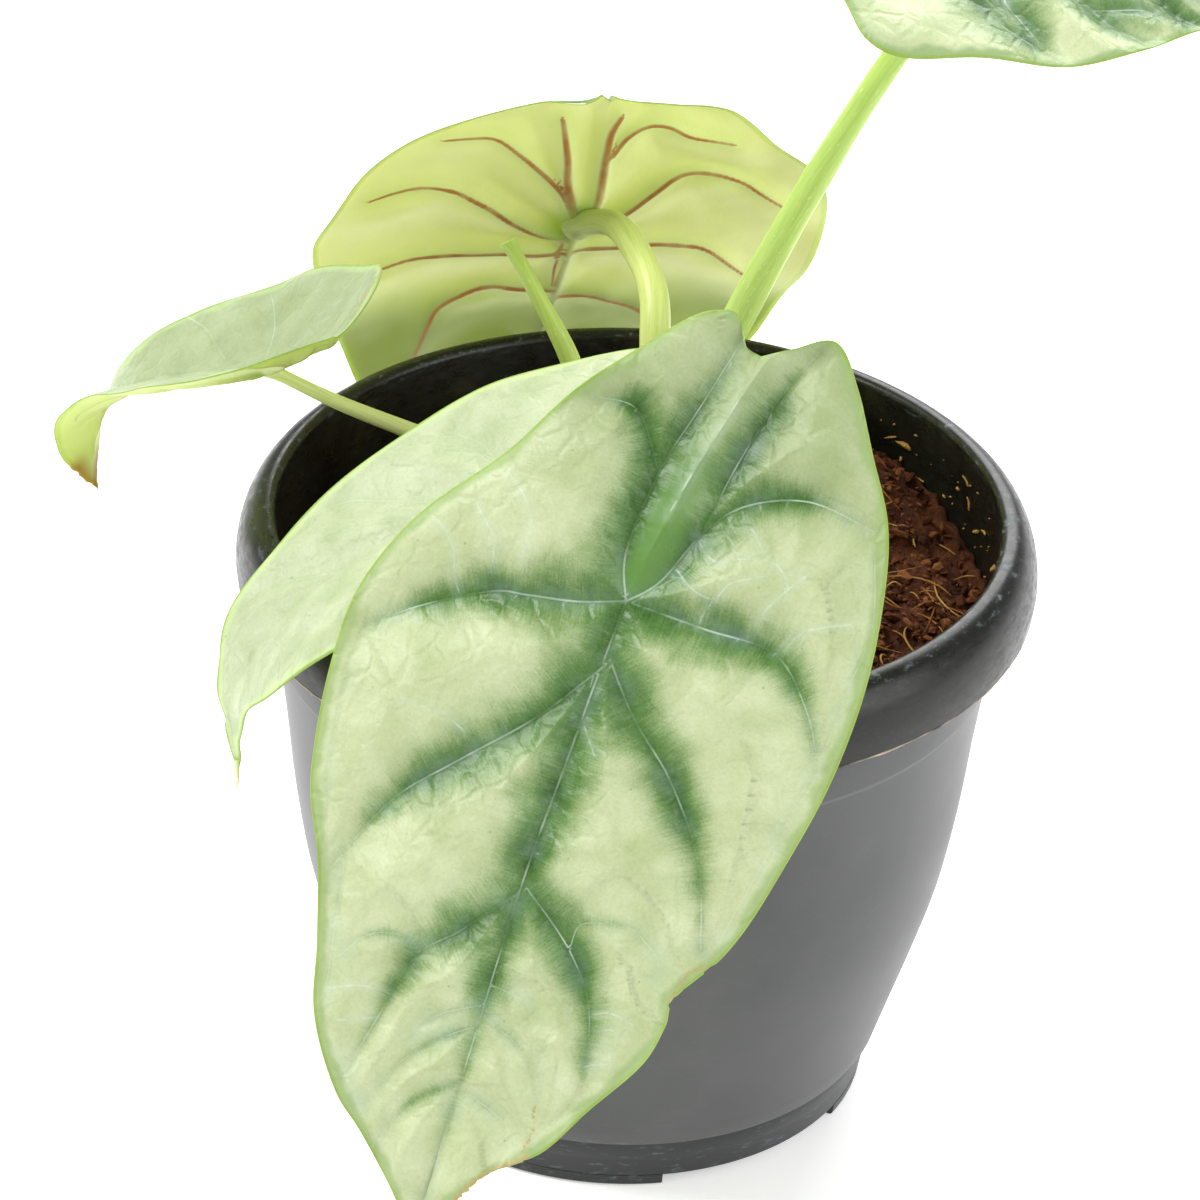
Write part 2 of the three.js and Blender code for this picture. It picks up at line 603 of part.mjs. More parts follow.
// A blade is its upper and lower faces, split into triangles alike, and the thin edge between.
// above and below shift the two faces outwards, for the room that trims a stalk's end.
function blade(leaf, above = 0, below = 0) {
  const { rows, columns, plan } = leaf;
  const veinLines = plan.veins.map((vein) => smoothLine(vein, 4 * vein.length));
  const grid = bladeGrid(leaf);
  const every = grid.flat().map((point) => point.v);
  const placeOf = midribPlaces(leaf, Math.min(...every), Math.max(...every));
  const positions = [];
  const ids = [];
  for (let row = 0; row <= rows; row += 1) {
    const single = row === 0 || row === rows;
    const line = [];
    for (let column = 0; column <= columns; column += 1) {
      if (single && column > 0) {
        line.push(line[0]);
        continue;
      }
      const point = grid[row][column];
      const { out, right } = axesAt(leaf.stations, point.v);
      const upper = placeOf(point.v).addScaledVector(right, point.u);
      upper.addScaledVector(out, relief(leaf, veinLines, point) + above);
      const lower = upper.clone().addScaledVector(out, -above - BLADE_THICKNESS - below);
      line.push(positions.length / 3);
      positions.push(...upper.toArray(), ...lower.toArray());
    }
    ids.push(line);
  }
  const index = [];
  const both = (a, b, c) => {
    if (a === b || b === c || a === c) return;
    index.push(a, b, c, a + 1, c + 1, b + 1);
  };
  const edge = (a, b) => index.push(a, a + 1, b + 1, a, b + 1, b);
  for (let row = 0; row < rows; row += 1) {
    for (let column = 0; column < columns; column += 1) {
      const a = ids[row][column];
      const b = ids[row + 1][column];
      const c = ids[row + 1][column + 1];
      const d = ids[row][column + 1];
      if (column < columns / 2) {
        both(a, b, c);
        both(a, c, d);
      } else {
        both(a, b, d);
        both(b, c, d);
      }
    }
    edge(ids[row][0], ids[row + 1][0]);
    edge(ids[row + 1][columns], ids[row][columns]);
  }
  const geometry = new THREE.BufferGeometry();
  geometry.setAttribute("position", new THREE.Float32BufferAttribute(positions, 3));
  geometry.setIndex(index);
  return solidOf(geometry);
}

const sockets = [];

function addStalk(name, { route, foot, end }, colour, leaf) {
  const whole = leaf ? [...route, leaf.joint] : route;
  const steps = Math.round(whole.length * STALK_STEPS_PER_POINT);
  const plain = stalk(whole, foot, end, steps);
  addPiece(name, leaf ? plain.subtract(blade(leaf, TRIM_DEPTH, CONTACT_GAP)) : plain, colour, 0.4);
  sockets.push(socket(route, foot));
}

// A socket is a little wider and deeper than the foot that stands in it.
function socket(route, foot) {
  const [low, next] = route.map((point) => new THREE.Vector3(...point));
  const way = next.clone().sub(low).normalize();
  const bottom = low.clone().addScaledVector(way, -CONTACT_GAP);
  const top = low.clone().addScaledVector(way, SOCKET_LENGTH);
  const radius = foot + SOCKET_CLEARANCE;
  return stalk([bottom.toArray(), top.toArray()], radius, radius, 2);
}

addPiece("pot", pot(), 0x26282a, 0.35);
addPiece("soil", soil(), 0x5a3322, 0.95);
for (const [name, leaf] of Object.entries(LEAVES)) {
  addPiece(`blade_${name}`, blade(leaf), leaf.colour, 0.45);
  addStalk(`petiole_${name}`, STALKS[name], 0xb2d95a, leaf);
}
addStalk("petiole_stub", STUB, 0xa0c846);
addPiece("crown", crown(sockets), 0x8fae4a, 0.55);

export default root;
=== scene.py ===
"""The looks of a silver dragon alocasia in a black nursery pot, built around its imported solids.

Plans, routes and profiles are in millimetres, in the frame of the part. Meshes are made in metres.
On a blade, u runs to the right of the midrib and v from the stalk's joint to the tip.
"""

import math
import random

import bpy
import numpy as np
from mathutils import Matrix, Vector, noise


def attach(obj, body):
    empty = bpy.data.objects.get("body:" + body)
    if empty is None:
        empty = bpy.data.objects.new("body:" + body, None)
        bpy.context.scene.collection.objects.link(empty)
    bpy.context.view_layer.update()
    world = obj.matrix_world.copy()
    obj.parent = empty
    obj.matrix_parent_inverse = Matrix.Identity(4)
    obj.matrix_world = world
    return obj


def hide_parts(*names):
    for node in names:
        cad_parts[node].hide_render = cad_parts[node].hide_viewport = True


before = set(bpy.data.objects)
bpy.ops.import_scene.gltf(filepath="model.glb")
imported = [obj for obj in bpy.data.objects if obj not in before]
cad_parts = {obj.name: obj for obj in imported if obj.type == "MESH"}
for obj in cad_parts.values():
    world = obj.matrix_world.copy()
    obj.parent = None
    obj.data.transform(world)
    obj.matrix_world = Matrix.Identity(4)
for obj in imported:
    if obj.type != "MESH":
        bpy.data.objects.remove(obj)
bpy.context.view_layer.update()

MM = 0.001

# Driving dimensions of the pot, as in the solids
RIM_RADIUS = 70
POT_HEIGHT = 113.2
MOUTH_RADIUS = 64.4
POT_WALL = 1.4
LIP_DROP = 10
LIP_SKIRT = 3
LIP_FOOT = POT_HEIGHT - LIP_DROP - LIP_SKIRT
FLOOR_UNDERSIDE = 2
FLOOR_TOP = 3.6
FOOT_RADIUS = 45.3
FOOT_WIDTH = 4.5
FOOT_SPREAD = 40
FOOT_STEP = 10.5
FOOT_HEADINGS = (-98, -8, 82, 172)
CENTRE_PAD_RADIUS = 13
DRAIN_HOLES = 8
DRAIN_HOLE_RADIUS = 4
DRAIN_HOLE_RING = 30
WALL_OUTSIDE = [
    (11, 47.7), (20, 50.3), (32, 53.8), (45, 57.2), (60, 59.6), (75, 61.2), (88, 62.9), (89.6, 63.6),
    (103, 64.6),
]

# How finely the sub-parts are built
POT_SEGMENTS = 192
FLASH_SEGMENTS = 720
PAD_SEGMENTS = 64
CUTTER_SIDES = 32
COIR_RINGS = 84
COIR_SEGMENTS = 240
CROWN_SEGMENTS = 72
SHEATH_SEGMENTS = 30
STALK_STEPS = 110
STALK_SIDES = 28
TIP_STEPS = 30
TIP_SIDES = 12
LINE_STEPS = 40

# Driving dimensions of the coir and the crown
SOIL_CLEARANCE = 0.2
SOIL_EDGE_HEIGHT = 89
SOIL_MOUND = 4
SOIL_MOUND_RADIUS = 62
SOIL_RISE_TO_RIGHT = 6
SOIL_HEAP = 12
SOIL_HEAP_CENTRE = (34, 34)
SOIL_HEAP_RADIUS = 18
SOIL_LUMPS = 1.3
CROWN_CENTRE = (0.5, 15)
CROWN_RADIUS = 10.5
CROWN_BOTTOM = 80
CROWN_TOP = 101

# Loose pieces of coir
CRUMB_COUNT = 8600
FIBRE_TRIES = 430
FIBRE_BEND = 0.22
WALL_PIECE_COUNT = 120

# Driving dimensions that all the leaves share
BLADE_THICKNESS = 0.55
VEIN_VALLEY = 5
MARGIN_FLAT = 4
MIDRIB_STEP = 0.5
STALK_TAPER = 1.3
MARGIN_BEAD = 0.12
# How far apart the veins lie in the pattern of streaks, so that no two look alike
VEIN_PATTERN_STEP = 37.0

FRONT_PLAN = {
    "right": [
        (7.5, -44.5), (12, -47), (18.5, -50), (24, -44), (29.5, -34.5), (35.5, -24.5), (39, -12.5),
        (41.5, 3), (41, 19.5), (38, 38), (34.5, 49.5), (29, 58.5), (28.8, 63.5), (27, 70.5), (21, 80),
        (16, 88.5), (9, 94.5), (5.5, 100), (0, 108.5),
    ],
    "left": [
        (7.5, -44.5), (4.5, -45.5), (1.5, -50), (-4.5, -48), (-12, -39.5), (-20, -29), (-27.5, -15),
        (-37, 0), (-41.5, 12.5), (-41, 25), (-38, 42.5), (-32.5, 54.5), (-29, 67), (-26, 78.5),
        (-19, 89.5), (-13, 95), (-4.5, 103.5), (0, 108.5),
    ],
    # Each vein as how strongly it is marked, and its line
    "veins": [
        (1.0, [(0, 0), (0.5, 27), (0, 50), (0, 80), (0, 106)]),
        (1.0, [(0, 0), (-7.5, 3), (-15.5, 5), (-21, 6.5), (-31.5, 13), (-38, 18.5)]),
        (1.0, [(1, 10.5), (-6.5, 22.5), (-16, 33), (-23, 40.5), (-27, 47.5), (-30, 55)]),
        (0.9, [(0, 50), (-7, 58.5), (-13, 65), (-16, 76.5), (-18.5, 86.5)]),
        (0.4, [(0, 69), (-5.5, 72), (-9, 75.5), (-9, 79.5)]),
        (0.45, [(0, 72.5), (-6, 77), (-10.5, 82.5), (-13, 90.5)]),
        (0.5, [(0, 82), (-7, 88), (-10, 95.5)]),
        (1.0, [(1, 0), (13.5, -0.5), (25.5, -1), (33.5, 5.5), (38, 12.5)]),
        (1.0, [(1, 9.5), (8, 17), (17.5, 25), (26, 36.5), (30.5, 50)]),
        (0.85, [(1, 49), (10.5, 56.5), (16.5, 65), (18.5, 77), (16, 84)]),
        (0.35, [(0, 65.5), (6, 66.5), (8, 69)]),
        (0.4, [(1, 71), (9, 75), (13, 83)]),
        (0.4, [(0.5, 83), (8.5, 86), (10.5, 89)]),
        (1.0, [(0, 0), (-3, -7.5), (-2.5, -21.5), (0, -32), (3.5, -45)]),
        (0.8, [(-3, -22), (-9, -30), (-15.5, -30)]),
        (1.0, [(0, 0), (4, -5), (7.5, -14.5), (12.5, -21), (22, -25), (33, -24)]),
        (0.8, [(7.5, -14.5), (9, -26.5), (12.5, -39.5), (16.5, -48)]),
    ],
    # Finer veins that only mark and groove the skin
    "fine_veins": [
        (0.4, [(10.5, 56), (11, 52), (15, 50.5), (19, 50), (22, 51.5), (24.5, 53.5), (25.5, 56.5)]),
        (0.4, [(-12.5, 64), (-14.5, 62.5), (-18.5, 62.5), (-22, 64.5), (-24.5, 68.5)]),
        (0.3, [(35, -20), (38.5, -10), (38.6, 1.5), (38.6, 11.5), (37.2, 22.5), (35.7, 33.5), (33, 48)]),
        (0.3, [(-39, 16), (-37.5, 29), (-36, 38.5), (-33, 49.5), (-28.5, 54), (-26.5, 66), (-24, 80),
               (-18.5, 86.5), (-10.5, 96)]),
        (0.3, [(15.5, 64.5), (12, 69.5), (11, 76), (12.5, 82)]),
    ],
    # Whitish hairline veins, where the silver skin parts
    "veinlets": [
        [(7, -13.5), (11, -11), (14.5, -12.5), (19.5, -14), (22.5, -13), (23.5, -11.5)],
        [(14, -18.5), (16.5, -16.5), (19, -14)],
        [(6, -7.5), (10, -5.5), (13.5, -5.5), (15, -8.5), (18, -10.5), (19.5, -11.5)],
        [(13.5, -5.5), (12.5, -2.5), (12.5, -0.5)],
        [(20.5, -2), (21.5, -6), (23.5, -10), (26, -14)],
        [(25.5, -1), (28.5, -5.5), (30.5, -7), (35, -9.5)],
        [(-27.5, 27), (-24.5, 27), (-20.5, 27), (-16.5, 28.5)],
        [(-32.5, -0.5), (-29, 2.5), (-27.5, 6.5), (-26, 8.5)],
        [(-28, -5.5), (-23.5, -1.5), (-22, 3.5)],
        [(-24.5, -12), (-21, -9.5), (-18.5, -6), (-18, 0)],
        [(1.5, 21.5), (4.5, 25)],
        [(1.5, -15), (3, -23.5), (5, -32), (6, -36)],
        [(-24.5, 74), (-20, 72), (-15.5, 72)],
        [(-21.5, 78.5), (-16.5, 76.5)],
        [(17.5, 65), (20, 64), (23.5, 64.5)],
        [(18.2, 69.5), (20.5, 69), (22, 71)],
        [(18.5, 73.5), (20.5, 72.5), (22, 73)],
        [(18.6, 67.5), (21, 66.5), (23, 67.5)],
        [(18.6, 71.5), (20.5, 70.8), (21.8, 72)],
    ],
}

BACK_PLAN = {
    "right": [
        (2, -40.5), (5, -37.5), (12.5, -38.5), (24, -33.5), (35.5, -25.5), (44, -15.5), (48.3, 0.5),
        (46, 14.5), (41, 29.5), (34.5, 46), (27, 62), (19, 79), (10, 95), (4, 106), (0, 114),
    ],
    "left": [
        (2, -40.5), (-3, -37), (-12.5, -36), (-22, -35), (-31.5, -26.5), (-40.5, -19), (-45.5, -4),
        (-45.3, 12), (-43.5, 29), (-38.5, 47), (-30, 66), (-19, 85), (-7.5, 102), (0, 114),
    ],
    "veins": [
        (1.0, [(0, 0), (0, 24), (1, 50), (0, 80), (0, 110)]),
        (1.0, [(0, 0), (4, -14), (7.5, -33)]),
        (1.0, [(0, 0), (-2.5, -19.5), (-2.5, -34)]),
        (0.9, [(0, 0), (8, -11), (14, -21.5), (19.5, -27), (27.5, -26)]),
        (0.85, [(-3, -19.5), (-5, -28), (-9, -31), (-16, -27.5), (-25, -23.5)]),
        (0.9, [(0, 4), (13, -1), (24.5, -8), (31, -8.5), (38, -5)]),
        (0.9, [(0, 5), (-7, -0.5), (-14.5, -9), (-21.5, -13), (-30, -10), (-39, -3)]),
        (0.9, [(0, 12), (14, 9.5), (27, 10.5), (34, 14), (40, 21)]),
        (0.9, [(0, 12), (-14.5, 10.5), (-25, 12.5), (-36, 22)]),
        (0.85, [(0, 24), (11.5, 24), (20, 27.5), (23.5, 37), (24, 46)]),
        (0.85, [(0, 24), (-10, 25), (-18, 31), (-28, 43), (-32, 52)]),
        (0.75, [(0.5, 42), (9, 44), (15, 52), (17, 64)]),
        (0.75, [(0.5, 44), (-9, 47), (-16, 56), (-20, 68)]),
        (0.6, [(0, 62), (7, 66), (10, 76), (9, 86)]),
        (0.6, [(0, 64), (-7, 69), (-12, 80)]),
    ],
    "fine_veins": [],
    # The veins as they are coloured on the underside
    "marked": [
        (1.5, [(1, 0), (1.5, -4.5), (4, -13), (5.5, -22), (8, -33.5)]),
        (1.6, [(-1, 0), (-2.5, -6.5), (-1.5, -22), (-1.5, -29.5), (-2.5, -34)]),
        (0.9, [(-2.5, -22), (-4.5, -28), (-7.5, -31), (-11.5, -31), (-16, -28.5), (-24, -26.5)]),
        (0.9, [(1.5, -3), (4.5, -10), (9.5, -17), (14, -22.5), (19, -27.5), (23.5, -28), (28.5, -27.5)]),
        (0.9, [(0.5, 5), (6, 3.5), (12, -1), (19.5, -8), (26, -12.5), (33, -13.5), (40, -11)]),
        (0.9, [(-1, 3), (-6.5, -1), (-11, -7.5), (-16, -15), (-21.5, -16.5), (-28, -14), (-38, -6)]),
        (0.9, [(0, 9), (5.5, 10), (12.5, 9), (20.5, 8.5), (28, 8.5), (36.5, 11.5)]),
        (0.9, [(0, 8.5), (-7.5, 8.5), (-14, 7.5), (-20.5, 7.5), (-26.5, 9.5), (-36, 18.5)]),
        (0.9, [(0, 22), (7, 21.5), (12.5, 20.5), (17.5, 22), (22, 26), (23.5, 33.5), (24.5, 44)]),
        (0.9, [(0, 24), (-7, 24.5), (-12, 27), (-18.5, 31), (-28, 43), (-32, 52)]),
        (0.8, [(0.5, 42), (9, 44), (15, 52), (17, 64)]),
        (0.8, [(0.5, 44), (-9, 47), (-16, 56), (-20, 68)]),
        (1.0, [(0, 0), (0, 24), (1, 50), (0, 80), (0, 110)]),
        (0.7, [(1.5, 3), (1.8, 9), (1.6, 15), (1.1, 20)]),
    ],
    # The marked vein that stays green on the underside
    "plain": (12,),
    "veinlets": [],
}


def scaled_veins(across, along):
    """The front leaf's veins, fitted to a smaller leaf."""
    return [(mark, [(u * across, v * along) for u, v in line]) for mark, line in FRONT_PLAN["veins"]]


LEFT_FRONT_PLAN = {
    "right": [
        (0, -27), (6, -31), (12, -29.5), (17, -21), (21, -10), (24, 2), (25, 13), (24.5, 25),
        (22.5, 36.5), (18.5, 46), (13.5, 56), (7.5, 63), (4.2, 70), (3.6, 74), (2.5, 78.5),
    ],
    "left": [
        (0, -27), (-6, -32), (-14, -33), (-21, -29.5), (-24, -20.5), (-24.5, -8), (-25, 2), (-24, 12),
        (-20, 26), (-17.5, 38), (-14, 47.5), (-10.5, 56.5), (-5, 64), (0, 69.5), (2.5, 78.5),
    ],
    "veins": scaled_veins(0.6, 0.68),
    "fine_veins": [
        (0.8, [(-3, 2), (-7.5, 4), (-14, 8), (-19, 14.5)]),
        (0.7, [(-2, 20), (-6, 27), (-11, 39.5)]),
        (0.6, [(-14.5, -8.5), (-24.5, -4)]),
    ],
    "veinlets": [[(-6, -6), (-12, -2), (-17, 1)], [(-5, 12), (-9, 18), (-14, 24)]],
}
LEFT_PLAN = {
    "right": [
        (0, -19), (5, -19.5), (10.5, -17), (15, -12), (18.3, -6), (20, 1), (19.5, 9), (17, 18),
        (14, 28), (12, 38), (9, 47), (5, 54), (0, 60.5),
    ],
    "left": [
        (0, -19), (-6, -25), (-12.5, -26), (-16.5, -18.5), (-19, -10), (-20.3, 0), (-18.7, 9),
        (-16, 18), (-12.5, 28), (-10.5, 38), (-8, 47), (-4, 54), (0, 60.5),
    ],
    "veins": scaled_veins(0.46, 0.5),
    "fine_veins": [],
    "veinlets": [[(-1, -2), (-5, -9), (-7, -13)], [(-8, -10), (-10, -15)]],
}
RIGHT_PLAN = {
    "right": [
        (2, -23), (9, -27.5), (17, -26.5), (24, -19), (28, -6), (28.5, 7), (26.5, 19), (21.5, 30),
        (14, 41), (6, 51), (0, 60),
    ],
    "left": [
        (2, -23), (-6, -27), (-14, -26.3), (-22, -25), (-25.8, -19), (-26.9, -5), (-26.8, 6),
        (-24.8, 17.5), (-20.3, 28), (-12, 38.5), (-5, 49.5), (0, 60),
    ],
    "veins": scaled_veins(0.66, 0.55),
    "fine_veins": [
        (0.9, [(-14, -2), (-18.5, 0.5), (-22, 5.5), (-24, 9)]),
        (0.9, [(-11.5, 18.5), (-11, 27), (-10.5, 35)]),
    ],
    "veinlets": [[(-18, -14), (-21, -10), (-23, -5)], [(-12, -12), (-16, -8)]],
}

# How each blade hangs and is shaped. A station is a v with the midrib's heading, its dip below level and
# its roll there, in degrees. The fold is a slope up from the midrib, and the arch bends the blade over it.
# In millimetres, quilt and puff raise the panels between the veins, crease cuts in along the veins, ripple
# waves the margin, border is how far the dark green reaches beside a vein and cell is the mesh's spacing.
# From 0 to 1, dark and channel say how deep the green is beside the veins and in the basal channel.
LEAVES = {
    "front": {
        "plan": FRONT_PLAN, "joint": (-1.8, -72, 138), "slot": "leaf", "cell": 0.6,
        "stations": [(-55, -110, 48, -19), (0, -123, 52, -19), (55, -117, 56, -19), (118, -123, 62, -18)],
        "fold": 0, "arch": 0.0012, "quilt": 2.6, "puff": 1.6, "crease": 0.8, "ripple": 0.9,
        "border": 7.5, "dark": 1.0, "channel": 0.9,
    },
    "back": {
        "plan": BACK_PLAN, "joint": (-13.8, 62, 137.4), "slot": "leaf", "cell": 0.95,
        "stations": [(-45, 105, 62, 6), (0, 109, 60, 6), (50, 113, 62, 5), (110, 113, 68, 2)],
        "fold": 0, "arch": 0.0016, "quilt": 1.8, "puff": 0.0, "crease": 0.25, "ripple": 0.9,
        "border": 7.0, "dark": 1.0, "channel": 0.5,
    },
    "left_front": {
        "plan": LEFT_FRONT_PLAN, "joint": (-20.1, -33, 137.6), "slot": "pale_leaf", "cell": 0.85,
        "stations": [
            (-35, 196, 8, -4), (0, 193, 19, -4), (20, 193, 28, -3), (42, 200, 37, 1), (60, 207, 64, 4),
            (70, 226, 84, 0), (78, 250, 92, 0),
        ],
        "fold": 0.1, "arch": 0, "quilt": 1.1, "puff": 0.3, "crease": 0.25, "ripple": 0.5,
        "border": 1.5, "dark": 0.35, "channel": 0.0,
    },
    "left": {
        "plan": LEFT_PLAN, "joint": (-67.1, 18, 128.7), "slot": "leaf", "cell": 0.75,
        "stations": [
            (-24, 148, 42, -7), (-6, 147, 34, -7), (8, 147, 22, -7), (24, 149, 25, -7), (37, 152, 42, -7),
            (47, 152, 74, -3), (54, 150, 97, 0), (61, 150, 112, 0),
        ],
        "fold": 0.43, "arch": 0, "quilt": 0.8, "puff": 0.2, "crease": 0.3, "ripple": 0.4,
        "border": 2.0, "dark": 0.3, "channel": 0.0,
    },
    "right": {
        "plan": RIGHT_PLAN, "joint": (51.7, 14, 215.4), "slot": "leaf", "cell": 0.85,
        "stations": [(-40, 18, 0, 14), (0, 15, 8, 14), (40, 12, 16, 14), (85, 10, 34, 14)],
        "fold": 0, "arch": 0.002, "quilt": 1.5, "puff": 0.9, "crease": 0.7, "ripple": 0.7,
        "border": 8.0, "dark": 1.0, "channel": 0.5,
    },
}

# Each stalk's route from the crown to its blade, and its radius at the foot and at the blade
STALKS = {
    "front": ([(2, 10, 97), (3.5, -4, 113), (4, -24, 123), (2.5, -46, 127.5), (0, -61, 131)], 3.1, 2.3),
    "left_front": ([(-5, 11, 97), (-7.5, -3, 111), (-10, -20, 119), (-15, -30, 127)], 2.7, 1.8),
    "left": ([(-6.5, 17, 97), (-20, 18.5, 107.7), (-40.2, 19, 115.3), (-53.5, 19.5, 120.3)], 2.3, 1.15),
    "back": (
        [(2.5, 21.5, 97), (2, 22.5, 115), (1.5, 25, 132), (0.9, 31, 138.5), (-1.8, 39, 141.6),
         (-6.5, 49, 142.6)],
        3.2, 2.3,
    ),
    "right": (
        [(7, 14.5, 97), (7.6, 15, 121), (15.4, 15, 142.5), (26.7, 15, 168.7), (39.2, 14, 194.3)],
        3.5, 2.05,
    ),
    "stub": (
        [(-4.5, 22, 97), (-8.5, 18.5, 117), (-13.6, 18, 132.8), (-18.9, 20, 142.4), (-24.8, 24, 151.5)],
        2.9, 1.3,
    ),
}


def linear_colour(hex_code):
    """An sRGB hex colour as the linear RGBA that the shaders take."""
    channels = [int(hex_code[i:i + 2], 16) / 255 for i in (1, 3, 5)]
    return [c / 12.92 if c <= 0.04045 else ((c + 0.055) / 1.055) ** 2.4 for c in channels] + [1.0]


def add_node(tree, kind, inputs=None, out=0, stops=None, **settings):
    """Adds a shader node with its settings, links or sets its inputs, and returns one of its outputs."""
    made = tree.nodes.new("ShaderNode" + kind)
    for name, value in settings.items():
        setattr(made, name, value)
    for place, value in (inputs or {}).items():
        if isinstance(value, bpy.types.NodeSocket):
            tree.links.new(value, made.inputs[place])
        else:
            made.inputs[place].default_value = value
    if stops:
        ramp = made.color_ramp
        while len(ramp.elements) < len(stops):
            ramp.elements.new(1.0)
        for element, (position, hex_code) in zip(ramp.elements, stops):
            element.position = position
            element.color = linear_colour(hex_code)
    return made.outputs[out]


# Settings that many nodes share: a colour laid over another, one that darkens it, and an eased ramp
PAINT = {"out": 2, "data_type": "RGBA"}
STAIN = {"out": 2, "data_type": "RGBA", "blend_type": "MULTIPLY"}
EASED = {"interpolation_type": "SMOOTHSTEP"}


def new_material(name, **shader_values):
    """A material whose shader has the given constants, its node tree and that shader."""
    made = bpy.data.materials.new(name)
    made.use_nodes = True
    shader = made.node_tree.nodes["Principled BSDF"]
    for socket, value in shader_values.items():
        shader.inputs[socket.replace("_", " ")].default_value = value
    return made, made.node_tree, shader


def vein_borders(tree):
    """How deep in a vein's dark border a place is: 1 at the vein and 0 in the silver panel."""
    distance = add_node(tree, "Attribute", out=2, attribute_name="vein_distance")
    reach = add_node(tree, "Attribute", out=2, attribute_name="border_reach")
    along = add_node(tree, "Attribute", out=2, attribute_name="vein_along")
    place = add_node(tree, "Attribute", out=1, attribute_name="leaf_place")
    # Streaks square to the vein, 0.3 mm wide and about 5 mm long
    streak_along = add_node(tree, "Math", {0: along, 1: 3.2}, operation="MULTIPLY")
    streak_across = add_node(tree, "Math", {0: distance, 1: 0.2}, operation="MULTIPLY")
    streak_place = add_node(tree, "CombineXYZ", {0: streak_along, 1: streak_across})
    streaks = add_node(
        tree, "TexNoise", {"Vector": streak_place, "Scale": 1.0, "Detail": 3.0, "Roughness": 0.6}
    )
    blotches = add_node(tree, "TexNoise", {"Vector": place, "Scale": 0.13, "Detail": 2.0})
    powder = add_node(tree, "TexNoise", {"Vector": place, "Scale": 2.6, "Detail": 3.0, "Roughness": 0.7})
    for pattern, most in ((streaks, 0.1), (blotches, 0.24), (powder, 0.11)):
        shift = add_node(tree, "MapRange", {0: pattern, 1: 0.3, 2: 0.7, 3: -most, 4: most})
        reach = add_node(tree, "Math", {0: reach, 1: shift}, operation="ADD")
    depth = add_node(tree, "MapRange", {0: reach, 1: -0.1, 2: 1.3, 3: 1.0, 4: 0.0})
    return depth, distance, place, streaks


def vein_line(tree, distance, half_width_mm):
    """1 on the vein itself and 0 beside it. The signed distance keeps a thin line whole."""
    signed = add_node(tree, "Attribute", out=2, attribute_name="vein_signed")
    beside = add_node(tree, "Math", {0: signed}, operation="ABSOLUTE")
    apart = add_node(tree, "Math", {0: distance, 1: 0.35}, operation="SUBTRACT")
    nearest = add_node(tree, "Math", {0: beside, 1: apart}, operation="MAXIMUM")
    mark = add_node(tree, "Attribute", out=2, attribute_name="vein_mark")
    width = add_node(tree, "Math", {0: mark, 1: half_width_mm}, operation="MULTIPLY")
    share = add_node(tree, "Math", {0: nearest, 1: width}, operation="DIVIDE")
    return add_node(tree, "MapRange", {0: share, 1: 0.5, 2: 1.5, 3: 1.0, 4: 0.0}, **EASED)


